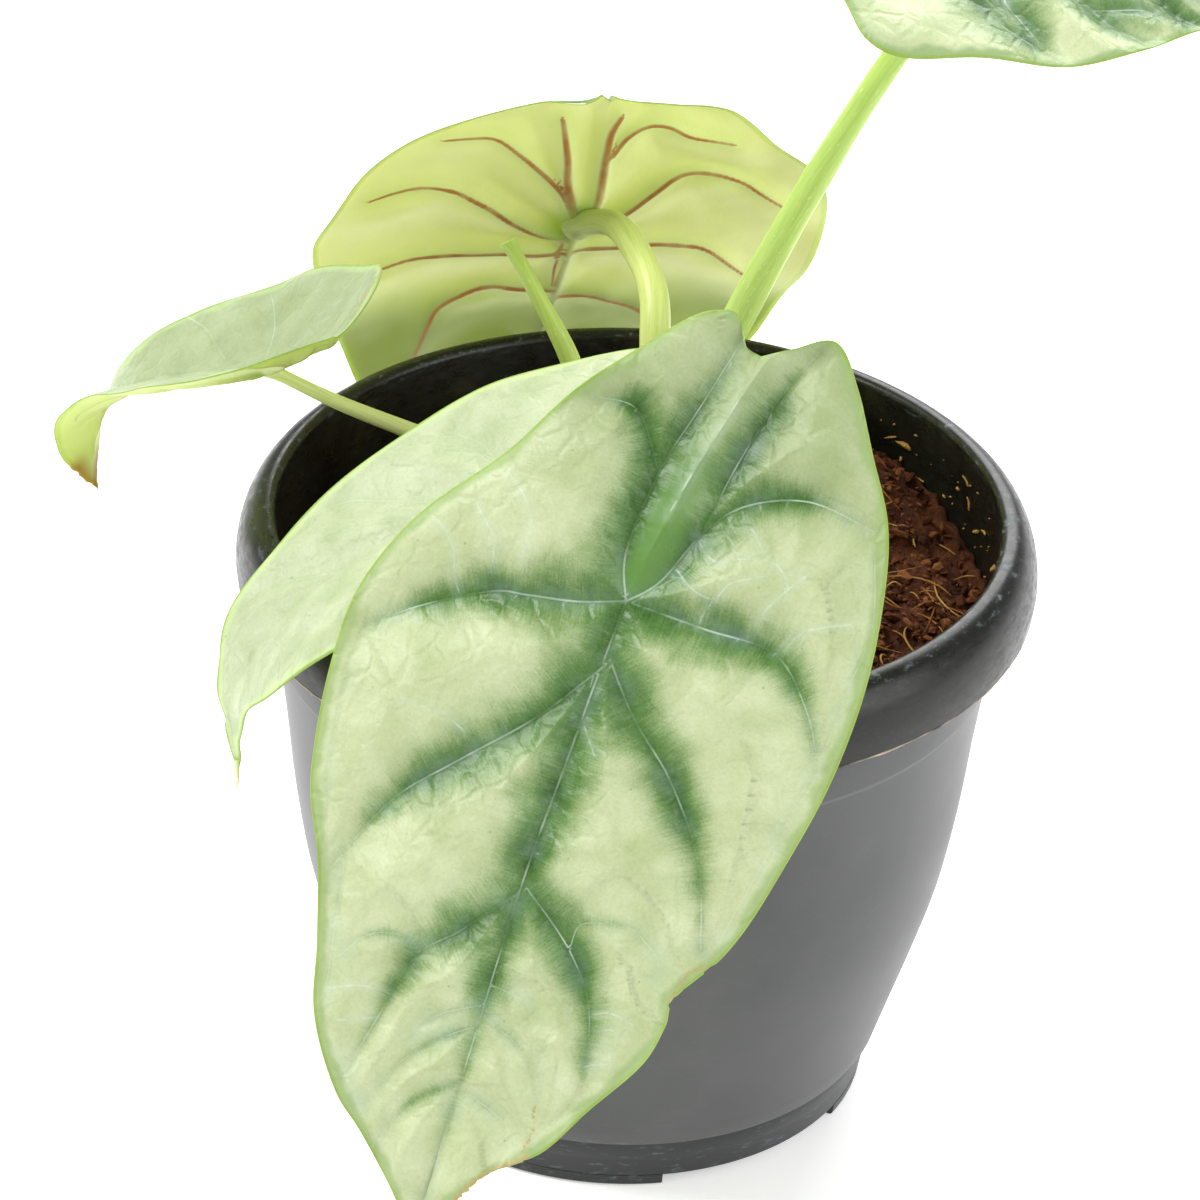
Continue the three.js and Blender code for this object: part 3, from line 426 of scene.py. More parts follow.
def silver_cuticle(name, stops, line_hex, line_strength, margin_hex, lobe_hex, lobe_share):
    """The upper skin: a silvery, finely grained satin cuticle over green, dark along the veins.

    The light comes back soft and even, a little shinier in the dark borders than on the silver.
    """
    made, tree, shader = new_material(name, IOR=1.42)
    depth, distance, place, streaks = vein_borders(tree)
    skin = add_node(tree, "ValToRGB", {0: depth}, stops=stops)
    # Greener patches about 12 mm across, and a mottle of 0.7 mm
    patches = add_node(tree, "TexNoise", {"Vector": place, "Scale": 0.085, "Detail": 4.0, "Roughness": 0.6})
    patch_share = add_node(tree, "MapRange", {0: patches, 1: 0.35, 2: 0.7, 3: 0.0, 4: 0.4})
    skin = add_node(tree, "Mix", {0: patch_share, 6: skin, 7: linear_colour("#c3cf9c")}, **STAIN)
    mottle = add_node(tree, "TexNoise", {"Vector": place, "Scale": 1.5, "Detail": 5.0, "Roughness": 0.78})
    mottle_share = add_node(tree, "MapRange", {0: mottle, 1: 0.4, 2: 0.7, 3: 0.0, 4: 0.35})
    skin = add_node(tree, "Mix", {0: mottle_share, 6: skin, 7: linear_colour("#c9d6b4")}, **STAIN)
    # Painted shade of the soft cross ribs that leave the veins about 6 mm apart; the bump below raises them
    # too
    along = add_node(tree, "Attribute", out=2, attribute_name="vein_along")
    rib_along = add_node(tree, "Math", {0: along, 1: 0.17}, operation="MULTIPLY")
    rib_across = add_node(tree, "Math", {0: distance, 1: 0.05}, operation="MULTIPLY")
    rib_place = add_node(tree, "CombineXYZ", {0: rib_along, 1: rib_across})
    waves = add_node(tree, "TexNoise", {"Vector": rib_place, "Scale": 1.0, "Detail": 0.0})
    rib_share = add_node(tree, "Attribute", out=2, attribute_name="rib_share")
    waves = add_node(tree, "Math", {0: waves, 1: 0.5}, operation="SUBTRACT")
    waves = add_node(tree, "Math", {0: waves, 1: rib_share}, operation="MULTIPLY")
    rib = add_node(tree, "MapRange", {0: waves, 1: -0.1, 2: 0.12, 3: 0.0, 4: 0.3})
    skin = add_node(tree, "Mix", {0: rib, 6: skin, 7: linear_colour("#c6d3ac")}, **STAIN)
    # Painted sheen: a bluish white reflection painted beside some veins
    painted_sheen = add_node(
        tree, "MapRange", {0: distance, 1: 0.2, 2: 3.0, 3: 0.32 * line_strength, 4: 0.0}, **EASED
    )
    painted_sheen_where = add_node(
        tree, "TexNoise", {"Vector": place, "Scale": 0.09, "Detail": 5.0, "Roughness": 0.65}
    )
    painted_sheen_where = add_node(tree, "MapRange", {0: painted_sheen_where, 1: 0.46, 2: 0.62, 3: 0.0, 4: 1.0})
    painted_sheen = add_node(tree, "Math", {0: painted_sheen, 1: painted_sheen_where}, operation="MULTIPLY")
    skin = add_node(tree, "Mix", {0: painted_sheen, 6: skin, 7: linear_colour("#b4d0c4")}, **PAINT)
    # The basal lobes turn away from the light and are greener
    v = add_node(tree, "SeparateXYZ", {0: place}, out=1)
    lobe = add_node(tree, "MapRange", {0: v, 1: -6.0, 2: -38.0, 3: 0.0, 4: lobe_share}, **EASED)
    skin = add_node(tree, "Mix", {0: lobe, 6: skin, 7: linear_colour(lobe_hex)}, **STAIN)
    channel = add_node(tree, "Attribute", out=2, attribute_name="channel")
    skin = add_node(tree, "Mix", {0: channel, 6: skin, 7: linear_colour("#5f8a3e")}, **PAINT)
    # A greener band about 2 mm wide inside the margin, and the fresh green edge itself
    inset = add_node(tree, "Attribute", out=2, attribute_name="margin_inset")
    wander = add_node(tree, "TexNoise", {"Vector": place, "Scale": 0.12, "Detail": 3.0})
    wander_mm = add_node(tree, "MapRange", {0: wander, 1: 0.3, 2: 0.7, 3: -0.9, 4: 0.9})
    wandering = add_node(tree, "Math", {0: inset, 1: wander_mm}, operation="ADD")
    band = add_node(tree, "MapRange", {0: wandering, 1: 0.9, 2: 2.3, 3: 0.75, 4: 0.0}, **EASED)
    skin = add_node(tree, "Mix", {0: band, 6: skin, 7: linear_colour(margin_hex)}, **PAINT)
    edge = add_node(tree, "MapRange", {0: inset, 1: 0.15, 2: 0.65, 3: 0.9, 4: 0.0}, **EASED)
    skin = add_node(tree, "Mix", {0: edge, 6: skin, 7: linear_colour("#8dab45")}, **PAINT)
    # The whitish vein, broken where the skin has worn, and the hairline veinlets
    line = vein_line(tree, distance, 0.16)
    breaks = add_node(tree, "TexNoise", {"Vector": place, "Scale": 0.1, "Detail": 4.0})
    whole = add_node(tree, "MapRange", {0: breaks, 1: 0.44, 2: 0.64, 3: 0.05, 4: line_strength})
    line = add_node(tree, "Math", {0: line, 1: whole}, operation="MULTIPLY")
    net = add_node(tree, "Attribute", out=2, attribute_name="net_distance")
    net_signed = add_node(tree, "Attribute", out=2, attribute_name="net_signed")
    net_beside = add_node(tree, "Math", {0: net_signed}, operation="ABSOLUTE")
    net_apart = add_node(tree, "Math", {0: net, 1: 0.35}, operation="SUBTRACT")
    net_nearest = add_node(tree, "Math", {0: net_beside, 1: net_apart}, operation="MAXIMUM")
    hairline = add_node(tree, "MapRange", {0: net_nearest, 1: 0.04, 2: 0.3, 3: 1.0, 4: 0.0}, **EASED)
    worn = add_node(tree, "TexNoise", {"Vector": place, "Scale": 0.35, "Detail": 3.0})
    worn = add_node(
        tree, "MapRange", {0: worn, 1: 0.38, 2: 0.62, 3: 0.08 * line_strength, 4: 0.75 * line_strength}
    )
    hairline = add_node(tree, "Math", {0: hairline, 1: worn}, operation="MULTIPLY")
    haze = add_node(tree, "MapRange", {0: net, 1: 0.2, 2: 1.7, 3: 0.16 * line_strength, 4: 0.0}, **EASED)
    pale = add_node(tree, "Math", {0: line, 1: hairline}, operation="MAXIMUM")
    pale = add_node(tree, "Math", {0: pale, 1: haze}, operation="MAXIMUM")
    skin = add_node(tree, "Mix", {0: pale, 6: skin, 7: linear_colour(line_hex)}, **PAINT)
    # Dry brown tissue where the margin was torn
    scar = add_node(tree, "Attribute", out=2, attribute_name="scar")
    rough_scar = add_node(tree, "TexNoise", {"Vector": place, "Scale": 1.7, "Detail": 4.0})
    scar_share = add_node(tree, "Math", {0: scar, 1: rough_scar}, operation="MULTIPLY")
    scar_share = add_node(tree, "MapRange", {0: scar_share, 1: 0.34, 2: 0.55, 3: 0.0, 4: 0.85}, **EASED)
    skin = add_node(tree, "Mix", {0: scar_share, 6: skin, 7: linear_colour("#b79c66")}, **PAINT)
    # Scattered green specks, about 0.5 mm wide
    specks = add_node(tree, "TexVoronoi", {"Vector": place, "Scale": 0.22, "Randomness": 1.0})
    speck = add_node(tree, "MapRange", {0: specks, 1: 0.035, 2: 0.06, 3: 0.55, 4: 0.0})
    skin = add_node(tree, "Mix", {0: speck, 6: skin, 7: linear_colour("#7f9a52")}, **PAINT)
    tree.links.new(skin, shader.inputs["Base Color"])
    rough = add_node(tree, "MapRange", {0: depth, 1: 0.0, 2: 1.0, 3: 0.46, 4: 0.34})
    tree.links.new(rough, shader.inputs["Roughness"])
    # Skin grain 0.4 mm, a net of tiny veins 4 mm wide, the streaks beside the veins and the cross ribs
    grain = add_node(tree, "TexNoise", {"Vector": place, "Scale": 2.4, "Detail": 3.0})
    warp = add_node(tree, "TexNoise", {"Vector": place, "Scale": 0.25, "Detail": 2.0}, out=1)
    warp_mm = add_node(tree, "VectorMath", {0: warp, 1: (3.0, 3.0, 0.0)}, operation="MULTIPLY")
    warped = add_node(tree, "VectorMath", {0: place, 1: warp_mm}, operation="ADD")
    cells = add_node(tree, "TexVoronoi", {"Vector": warped, "Scale": 0.24}, feature="DISTANCE_TO_EDGE")
    cell_height = add_node(tree, "MapRange", {0: cells, 1: 0.0, 2: 0.22, 3: 0.0, 4: 1.6}, **EASED)
    height = add_node(tree, "Math", {0: grain, 1: 0.5, 2: cell_height}, operation="MULTIPLY_ADD")
    height = add_node(tree, "Math", {0: streaks, 1: 0.5, 2: height}, operation="MULTIPLY_ADD")
    height = add_node(tree, "Math", {0: waves, 1: 5.0, 2: height}, operation="MULTIPLY_ADD")
    # The channel is smooth
    uneven = add_node(tree, "Math", {0: 1.0, 1: channel}, operation="SUBTRACT")
    height = add_node(tree, "Math", {0: height, 1: uneven}, operation="MULTIPLY")
    bump = add_node(tree, "Bump", {"Strength": 0.45, "Distance": 0.0002, "Height": height})
    tree.links.new(bump, shader.inputs["Normal"])
    return made


def leaf_underside(name, stops, vein_hex, vein_strength, lit_through, low_share):
    """The lower skin: smooth, thin and lit through, yellow-green with reddish-brown raised veins."""
    made, tree, shader = new_material(
        name, IOR=1.42, Roughness=0.5, Subsurface_Weight=lit_through, Subsurface_Scale=0.002
    )
    shader.inputs["Subsurface Radius"].default_value = (0.9, 1.0, 0.3)
    distance = add_node(tree, "Attribute", out=2, attribute_name="vein_distance")
    mark = add_node(tree, "Attribute", out=2, attribute_name="vein_mark")
    place = add_node(tree, "Attribute", out=1, attribute_name="leaf_place")
    clouds = add_node(tree, "TexNoise", {"Vector": place, "Scale": 0.05, "Detail": 3.0})
    skin = add_node(tree, "ValToRGB", {0: clouds}, stops=stops)
    glow = add_node(tree, "MapRange", {0: distance, 1: 0.5, 2: 4.0, 3: 0.3, 4: 0.0}, **EASED)
    skin = add_node(tree, "Mix", {0: glow, 6: skin, 7: linear_colour("#c4d272")}, **PAINT)
    # Behind the pot less light comes through, and the skin looks a deeper green
    v = add_node(tree, "SeparateXYZ", {0: place}, out=1)
    low = add_node(tree, "MapRange", {0: v, 1: 14.0, 2: 33.0, 3: 0.0, 4: low_share}, **EASED)
    skin = add_node(tree, "Mix", {0: low, 6: skin, 7: linear_colour("#82922e")}, **PAINT)
    joint_distance = add_node(tree, "VectorMath", {0: place}, out=1, operation="LENGTH")
    star = add_node(tree, "MapRange", {0: joint_distance, 1: 2.5, 2: 9.0, 3: 0.7, 4: 0.0}, **EASED)
    skin = add_node(tree, "Mix", {0: star, 6: skin, 7: linear_colour("#aac854")}, **PAINT)
    line = vein_line(tree, distance, 0.5)
    fade = add_node(tree, "TexNoise", {"Vector": place, "Scale": 0.2, "Detail": 3.0})
    fade = add_node(tree, "MapRange", {0: fade, 1: 0.3, 2: 0.6, 3: 0.6, 4: 1.0})
    line = add_node(tree, "Math", {0: line, 1: fade}, operation="MULTIPLY")
    seen = add_node(tree, "MapRange", {0: mark, 1: 0.12, 2: 0.5, 3: 0.1, 4: vein_strength})
    away = add_node(tree, "MapRange", {0: joint_distance, 1: 4.0, 2: 10.0, 3: 0.3, 4: 1.0}, **EASED)
    brown = add_node(tree, "Attribute", out=2, attribute_name="vein_brown")
    seen = add_node(tree, "Math", {0: seen, 1: brown}, operation="MULTIPLY")
    line = add_node(tree, "Math", {0: line, 1: seen}, operation="MULTIPLY")
    line = add_node(tree, "Math", {0: line, 1: away}, operation="MULTIPLY")
    skin = add_node(tree, "Mix", {0: line, 6: skin, 7: linear_colour(vein_hex)}, **PAINT)
    inset = add_node(tree, "Attribute", out=2, attribute_name="margin_inset")
    edge = add_node(tree, "MapRange", {0: inset, 1: 0.3, 2: 1.3, 3: 0.6, 4: 0.0}, **EASED)
    skin = add_node(tree, "Mix", {0: edge, 6: skin, 7: linear_colour("#9dc04e")}, **PAINT)
    scar = add_node(tree, "Attribute", out=2, attribute_name="scar")
    skin = add_node(tree, "Mix", {0: scar, 6: skin, 7: linear_colour("#9a6a2e")}, **PAINT)
    tree.links.new(skin, shader.inputs["Base Color"])
    grain = add_node(tree, "TexNoise", {"Vector": place, "Scale": 1.6, "Detail": 3.0})
    cells = add_node(tree, "TexVoronoi", {"Vector": place, "Scale": 0.25}, feature="DISTANCE_TO_EDGE")
    height = add_node(tree, "Math", {0: cells, 1: -0.8, 2: grain}, operation="MULTIPLY_ADD")
    bump = add_node(tree, "Bump", {"Strength": 0.25, "Distance": 0.00014, "Height": height})
    tree.links.new(bump, shader.inputs["Normal"])
    return made


def stalk_skin(name, foot_hex, middle_hex, top_hex, fleck_hex, fleck_share):
    """A fleshy stalk's skin: smooth, waxy and fresh green, with fine lines along it and pale flecks."""
    made, tree, shader = new_material(
        name, IOR=1.42, Roughness=0.36, Subsurface_Weight=0.2, Subsurface_Scale=0.002
    )
    shader.inputs["Subsurface Radius"].default_value = (0.8, 1.0, 0.2)
    share = add_node(tree, "Attribute", out=2, attribute_name="stalk_share")
    place = add_node(tree, "Attribute", out=1, attribute_name="stalk_place")
    skin = add_node(
        tree, "ValToRGB", {0: share}, stops=[(0.0, foot_hex), (0.55, middle_hex), (1.0, top_hex)]
    )
    # Lines 0.4 mm apart that run along the stalk, 9 mm long
    stretched = add_node(tree, "VectorMath", {0: place, 1: (2.4, 0.11, 1.0)}, operation="MULTIPLY")
    lines = add_node(tree, "TexNoise", {"Vector": stretched, "Scale": 1.0, "Detail": 3.0})
    line_share = add_node(tree, "MapRange", {0: lines, 1: 0.4, 2: 0.7, 3: 0.0, 4: 0.22})
    skin = add_node(tree, "Mix", {0: line_share, 6: skin, 7: linear_colour("#8fb64a")}, **STAIN)
    # Flecks 0.3 mm wide and 1 mm long
    fleck_place = add_node(tree, "VectorMath", {0: place, 1: (1.5, 0.5, 1.0)}, operation="MULTIPLY")
    flecks = add_node(
        tree, "TexNoise", {"Vector": fleck_place, "Scale": 1.0, "Detail": 2.0, "Roughness": 0.7}
    )
    fleck = add_node(tree, "MapRange", {0: flecks, 1: 0.62, 2: 0.72, 3: 0.0, 4: fleck_share})
    skin = add_node(tree, "Mix", {0: fleck, 6: skin, 7: linear_colour(fleck_hex)}, **PAINT)
    tree.links.new(skin, shader.inputs["Base Color"])
    bump = add_node(tree, "Bump", {"Strength": 0.25, "Distance": 0.0001, "Height": lines})
    tree.links.new(bump, shader.inputs["Normal"])
    return made


def moulded_polypropylene():
    """Black injection-moulded polypropylene: satin on the wall, glossier on the rim between its scuffs.

    Dust and chalky scuffs lighten it, most of all along the rim and the foot.
    """
    made, tree, shader = new_material("moulded_polypropylene", IOR=1.49, Specular_IOR_Level=0.36)
    place = add_node(tree, "TexCoord", out=3)
    height = add_node(tree, "SeparateXYZ", {0: place}, out=2)
    rim_from, rim_full = (LIP_FOOT - 2.7) * MM, (LIP_FOOT + 0.3) * MM
    on_rim = add_node(tree, "MapRange", {0: height, 1: rim_from, 2: rim_full, 3: 0.0, 4: 1.0}, **EASED)
    haze = add_node(tree, "TexNoise", {"Vector": place, "Scale": 28.0, "Detail": 5.0, "Roughness": 0.6})
    wall = add_node(
        tree, "ValToRGB", {0: haze}, stops=[(0.3, "#434445"), (0.55, "#4b4c4c"), (0.8, "#555556")]
    )
    rim = add_node(
        tree, "ValToRGB", {0: haze}, stops=[(0.3, "#0a0b08"), (0.6, "#11120d"), (0.85, "#1e1f17")]
    )
    base = add_node(tree, "Mix", {0: on_rim, 6: wall, 7: rim}, **PAINT)
    # The foot band below the step is darker
    foot_band = add_node(
        tree, "MapRange", {0: height, 1: (FOOT_STEP - 0.2) * MM, 2: (FOOT_STEP + 0.3) * MM, 3: 0.75, 4: 0.0}
    )
    base = add_node(tree, "Mix", {0: foot_band, 6: base, 7: linear_colour("#1d1e20")}, **PAINT)
    # Painted shade and real stain: the inside is darker, as it is shaded, damp and stained by the coir
    faces_way = add_node(tree, "NewGeometry", out=1)
    outwards = add_node(tree, "VectorMath", {0: place, 1: (1.0, 1.0, 0.0)}, operation="MULTIPLY")
    outwards = add_node(tree, "VectorMath", {0: outwards}, operation="NORMALIZE")
    away = add_node(tree, "VectorMath", {0: faces_way, 1: outwards}, out=1, operation="DOT_PRODUCT")
    inside = add_node(tree, "MapRange", {0: away, 1: -0.3, 2: -0.8, 3: 0.0, 4: 1.0})
    stain = add_node(tree, "TexNoise", {"Vector": place, "Scale": 90.0, "Detail": 4.0})
    stain_and_shade = add_node(
        tree, "ValToRGB", {0: stain}, stops=[(0.35, "#11130f"), (0.6, "#1b1d15"), (0.8, "#35341f")]
    )
    base = add_node(tree, "Mix", {0: inside, 6: base, 7: stain_and_shade}, **PAINT)
    # Chalky scuffs, 1 to 5 mm, drawn out round the rim
    scuff_place = add_node(tree, "VectorMath", {0: place, 1: (300.0, 300.0, 900.0)}, operation="MULTIPLY")
    scuffs = add_node(
        tree, "TexNoise", {"Vector": scuff_place, "Scale": 1.0, "Detail": 6.0, "Roughness": 0.7}
    )
    scuff = add_node(tree, "MapRange", {0: scuffs, 1: 0.56, 2: 0.72, 3: 0.0, 4: 0.5})
    crest_from, crest_full = (POT_HEIGHT - 2.7) * MM, (POT_HEIGHT - 0.2) * MM
    rim_crest = add_node(tree, "MapRange", {0: height, 1: crest_from, 2: crest_full, 3: 0.0, 4: 1.0}, **EASED)
    foot_edge = add_node(
        tree, "MapRange", {0: height, 1: (FOOT_STEP + 2) * MM, 2: FOOT_STEP * MM, 3: 0.0, 4: 0.55}, **EASED
    )
    worn = add_node(tree, "Math", {0: rim_crest, 1: foot_edge}, operation="MAXIMUM")
    worn = add_node(tree, "MapRange", {0: worn, 1: 0.0, 2: 1.0, 3: 0.08, 4: 1.0})
    scuff = add_node(tree, "Math", {0: scuff, 1: worn}, operation="MULTIPLY")
    base = add_node(tree, "Mix", {0: scuff, 6: base, 7: linear_colour("#8fa0a8")}, **PAINT)
    tree.links.new(base, shader.inputs["Base Color"])
    wall_rough = add_node(tree, "MapRange", {0: haze, 1: 0.3, 2: 0.7, 3: 0.3, 4: 0.42})
    rim_rough = add_node(tree, "MapRange", {0: scuffs, 1: 0.4, 2: 0.7, 3: 0.27, 4: 0.5})
    rough = add_node(tree, "Mix", {0: on_rim, 2: wall_rough, 3: rim_rough}, data_type="FLOAT")
    tree.links.new(rough, shader.inputs["Roughness"])
    # Orange-peel of the mould, 0.8 mm
    peel = add_node(tree, "TexNoise", {"Vector": place, "Scale": 1200.0, "Detail": 2.0})
    peel_height = add_node(tree, "Math", {0: scuffs, 1: 0.6, 2: peel}, operation="MULTIPLY_ADD")
    bump = add_node(tree, "Bump", {"Strength": 0.12, "Distance": 0.00006, "Height": peel_height})
    tree.links.new(bump, shader.inputs["Normal"])
    return made


def husk_fibre(name, stops, roughness, grain_per_m):
    """Ground coconut husk: dull, dry at the tips and damp below, so its colour varies grain by grain."""
    made, tree, shader = new_material(name, IOR=1.45, Roughness=roughness)
    shader.inputs["Specular IOR Level"].default_value = 0.25
    tint = add_node(tree, "Attribute", out=2, attribute_name="grain_tint")
    place = add_node(tree, "TexCoord", out=3)
    mottle = add_node(
        tree, "TexNoise", {"Vector": place, "Scale": grain_per_m, "Detail": 6.0, "Roughness": 0.75}
    )
    mixed = add_node(tree, "Math", {0: mottle, 1: 0.8, 2: tint}, operation="MULTIPLY_ADD")
    skin = add_node(tree, "ValToRGB", {0: mixed}, stops=stops)
    tree.links.new(skin, shader.inputs["Base Color"])
    bump = add_node(tree, "Bump", {"Strength": 1.0, "Distance": 0.0008, "Height": mottle})
    tree.links.new(bump, shader.inputs["Normal"])
    return made


def dry_sheath_skin():
    """The papery brown remains of old leaf sheaths: dull, thin and finely ribbed."""
    made, tree, shader = new_material("dry_leaf_sheath", IOR=1.4, Roughness=0.7)
    place = add_node(tree, "TexCoord", out=3)
    stretched = add_node(tree, "VectorMath", {0: place, 1: (900.0, 900.0, 90.0)}, operation="MULTIPLY")
    ribs = add_node(tree, "TexNoise", {"Vector": stretched, "Scale": 1.0, "Detail": 4.0})
    skin = add_node(
        tree, "ValToRGB", {0: ribs}, stops=[(0.3, "#6f4a26"), (0.5, "#a27a45"), (0.75, "#c9ab74")]
    )
    tree.links.new(skin, shader.inputs["Base Color"])
    bump = add_node(tree, "Bump", {"Strength": 0.5, "Distance": 0.0002, "Height": ribs})
    tree.links.new(bump, shader.inputs["Normal"])
    return made


def crown_skin():
    """The short stem: waxy green, ringed by pale brown leaf scars."""
    made, tree, shader = new_material("ringed_stem", IOR=1.42, Roughness=0.5)
    place = add_node(tree, "TexCoord", out=3)
    rings = add_node(tree, "VectorMath", {0: place, 1: (60.0, 60.0, 420.0)}, operation="MULTIPLY")
    mottle = add_node(tree, "TexNoise", {"Vector": rings, "Scale": 1.0, "Detail": 5.0, "Roughness": 0.6})
    skin = add_node(
        tree, "ValToRGB", {0: mottle}, stops=[(0.3, "#5d4a24"), (0.5, "#8a9440"), (0.75, "#b7bf68")]
    )
    tree.links.new(skin, shader.inputs["Base Color"])
    bump = add_node(tree, "Bump", {"Strength": 0.5, "Distance": 0.0003, "Height": mottle})
    tree.links.new(bump, shader.inputs["Normal"])
    return made


def make_piece(name, points, faces, materials, face_materials=None, attributes=None, sharp_degrees=None):
    """A mesh object from points in millimetres, riding on the part's one body."""
    mesh = bpy.data.meshes.new(name)
    mesh.from_pydata((np.asarray(points, float) * MM).tolist(), [], [tuple(face) for face in faces])
    for material in materials:
        mesh.materials.append(material)
    if face_materials is not None:
        mesh.polygons.foreach_set("material_index", np.asarray(face_materials, np.int32))
    for key, values in (attributes or {}).items():
        values = np.asarray(values, np.float32)
        kind = "FLOAT_VECTOR" if values.ndim == 2 else "FLOAT"
        attribute = mesh.attributes.new(key, kind, "POINT")
        attribute.data.foreach_set("vector" if values.ndim == 2 else "value", values.ravel())
    mesh.polygons.foreach_set("use_smooth", np.ones(len(mesh.polygons), bool))
    if sharp_degrees:
        mesh.set_sharp_from_angle(angle=math.radians(sharp_degrees))
    mesh.update()
    piece = bpy.data.objects.new(name, mesh)
    bpy.context.scene.collection.objects.link(piece)
    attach(piece, "root")
    return piece


def grid_faces(rows, columns, start=0, closed=False, flipped=False):
    """Quads between rows of points, each row `columns` points long."""
    row = np.arange(rows - 1)[:, None]
    column = np.arange(columns if closed else columns - 1)[None, :]
    after = (column + 1) % columns
    a = start + row * columns + column
    b = start + row * columns + after
    c = b + columns
    d = a + columns
    quads = np.stack(np.broadcast_arrays(a, b, c, d), -1).reshape(-1, 4)
    return quads[:, ::-1] if flipped else quads


def cubic(p1, p2, slope1, slope2, t):
    """The curve from p1 to p2 with the given slopes at its ends."""
    bend = (-3 * p1 + 3 * p2 - 2 * slope1 - slope2) * t**2
    return (2 * p1 - 2 * p2 + slope1 + slope2) * t**3 + bend + slope1 * t + p1


def spaced_evenly(line, count):
    """The line with its points spaced evenly, and its length."""
    run = np.concatenate([[0], np.cumsum(np.linalg.norm(np.diff(line, axis=0), axis=1))])
    even = np.linspace(0, run[-1], count + 1)
    return np.stack([np.interp(even, run, line[:, k]) for k in range(line.shape[1])], 1), run[-1]


def smooth_line(points, count):
    """A smooth line through a plan's few points, evenly spaced, as in the solids."""
    points = np.array(points, float)
    padded = np.vstack([points[:1], points, points[-1:]])
    t = np.linspace(0, 1, LINE_STEPS, endpoint=False)[:, None]
    dense = []
    for i in range(len(points) - 1):
        p0, p1, p2, p3 = padded[i:i + 4]
        dense.append(cubic(p1, p2, (p2 - p0) / 2, (p3 - p1) / 2, t))
    return spaced_evenly(np.vstack([*dense, points[-1:]]), count)[0]


def smooth_step(value, low, high):
    """0 up to low, 1 from high on, and eased between them."""
    share = np.clip((value - low) / (high - low), 0, 1)
    return share * share * (3 - 2 * share)


def blade_axes(stations, v):
    """The blade's axes at each v: along the midrib, out of the upper face, and to the right."""
    stations = np.array(stations, float)
    after = np.clip(np.searchsorted(stations[:, 0], v), 1, len(stations) - 1)
    before = after - 1
    share = smooth_step(v, stations[before, 0], stations[after, 0])[:, None]
    angles = np.radians(stations[before, 1:] + (stations[after, 1:] - stations[before, 1:]) * share)
    heading, dip, roll = angles.T
    zero = np.zeros_like(heading)
    along = np.stack([np.cos(dip) * np.cos(heading), np.cos(dip) * np.sin(heading), -np.sin(dip)], 1)
    upright = np.stack([np.sin(dip) * np.cos(heading), np.sin(dip) * np.sin(heading), np.cos(dip)], 1)
    level = np.stack([-np.sin(heading), np.cos(heading), zero], 1)
    turn, lean = np.cos(roll)[:, None], np.sin(roll)[:, None]
    return along, upright * turn - level * lean, level * turn + upright * lean


def midrib_places(leaf, v):
    """Points of the midrib at each v, followed in short steps both ways from the joint."""
    places = np.zeros((len(v), 3))
    for way in (1, -1):
        steps = math.ceil(max(0, (v * way).max()) / MIDRIB_STEP) + 1
        middles = way * (np.arange(steps) + 0.5) * MIDRIB_STEP
        moves = blade_axes(leaf["stations"], middles)[0] * way * MIDRIB_STEP
        line = np.vstack([leaf["joint"], np.array(leaf["joint"]) + np.cumsum(moves, axis=0)])
        run = np.arange(steps + 1) * MIDRIB_STEP
        this_way = v * way >= 0
        for k in range(3):
            places[this_way, k] = np.interp(v[this_way] * way, run, line[:, k])
    return places


def beside_line(places, line):
    """How far each place is from a line, on which side, and how far along, in millimetres."""
    step = np.diff(line, axis=0)
    length = np.linalg.norm(step, axis=1)
    offset = places[:, None, :] - line[None, :-1]
    share = np.clip((offset * step).sum(2) / length**2, 0, 1)
    away = offset - share[..., None] * step
    distance = np.linalg.norm(away, axis=2)
    nearest = distance.argmin(1)
    pick = (np.arange(len(places)), nearest)
    side = np.sign(step[nearest, 0] * away[pick][:, 1] - step[nearest, 1] * away[pick][:, 0])
    run = np.concatenate([[0], np.cumsum(length)])
    return distance[pick], side, run[nearest] + share[pick] * length[nearest]


def blade_grid(plan, rows, columns):
    """u, v and the distance to the margin over the blade, with its rows swept as its side veins are."""
    right = smooth_line(plan["right"], rows)
    left = smooth_line(plan["left"], rows)
    notch_u, notch_v = plan["right"][0]
    tip_u, tip_v = plan["right"][-1]
    mid_v = notch_v + (tip_v - notch_v) * (np.arange(rows + 1) / rows) ** 1.15
    mid_u = np.where(mid_v < 0, notch_u * mid_v / notch_v, tip_u * np.maximum(0, mid_v / tip_v) ** 3)
    middle = np.stack([mid_u, mid_v], 1)[:, None, :]
    across = np.linspace(-1, 1, columns + 1)[None, :, None]
    edge = np.where(across < 0, left[:, None, :], right[:, None, :])
    places = middle + (edge - middle) * np.abs(across)
    inset = (1 - np.abs(across[..., 0])) * np.linalg.norm(edge - middle, axis=2)
    return places.reshape(-1, 2), inset.ravel()


def blade_relief(leaf, places, inset):
    """How far the upper face stands off the blade's plain sheet, as in the solids."""
    plan = leaf["plan"]
    u, v = places.T
    to_vein = np.full(len(places), 1e9)
    for _, vein in plan["veins"]:
        to_vein = np.minimum(to_vein, beside_line(places, smooth_line(vein, 4 * len(vein)))[0])
    fold = leaf["fold"] * (np.sqrt(u * u + 9) - 3)
    arch = -leaf["arch"] * u * u
    ripple = leaf["ripple"] * np.sin(0.21 * v + np.where(u > 0, 0.6, 2.4)) * np.exp(-inset / 7)
    panel = 1 - np.exp(-((to_vein / VEIN_VALLEY) ** 2))
    quilt = leaf["quilt"] * (panel * (1 - np.exp(-inset / MARGIN_FLAT)) - 0.5)
    return fold + arch + ripple + quilt


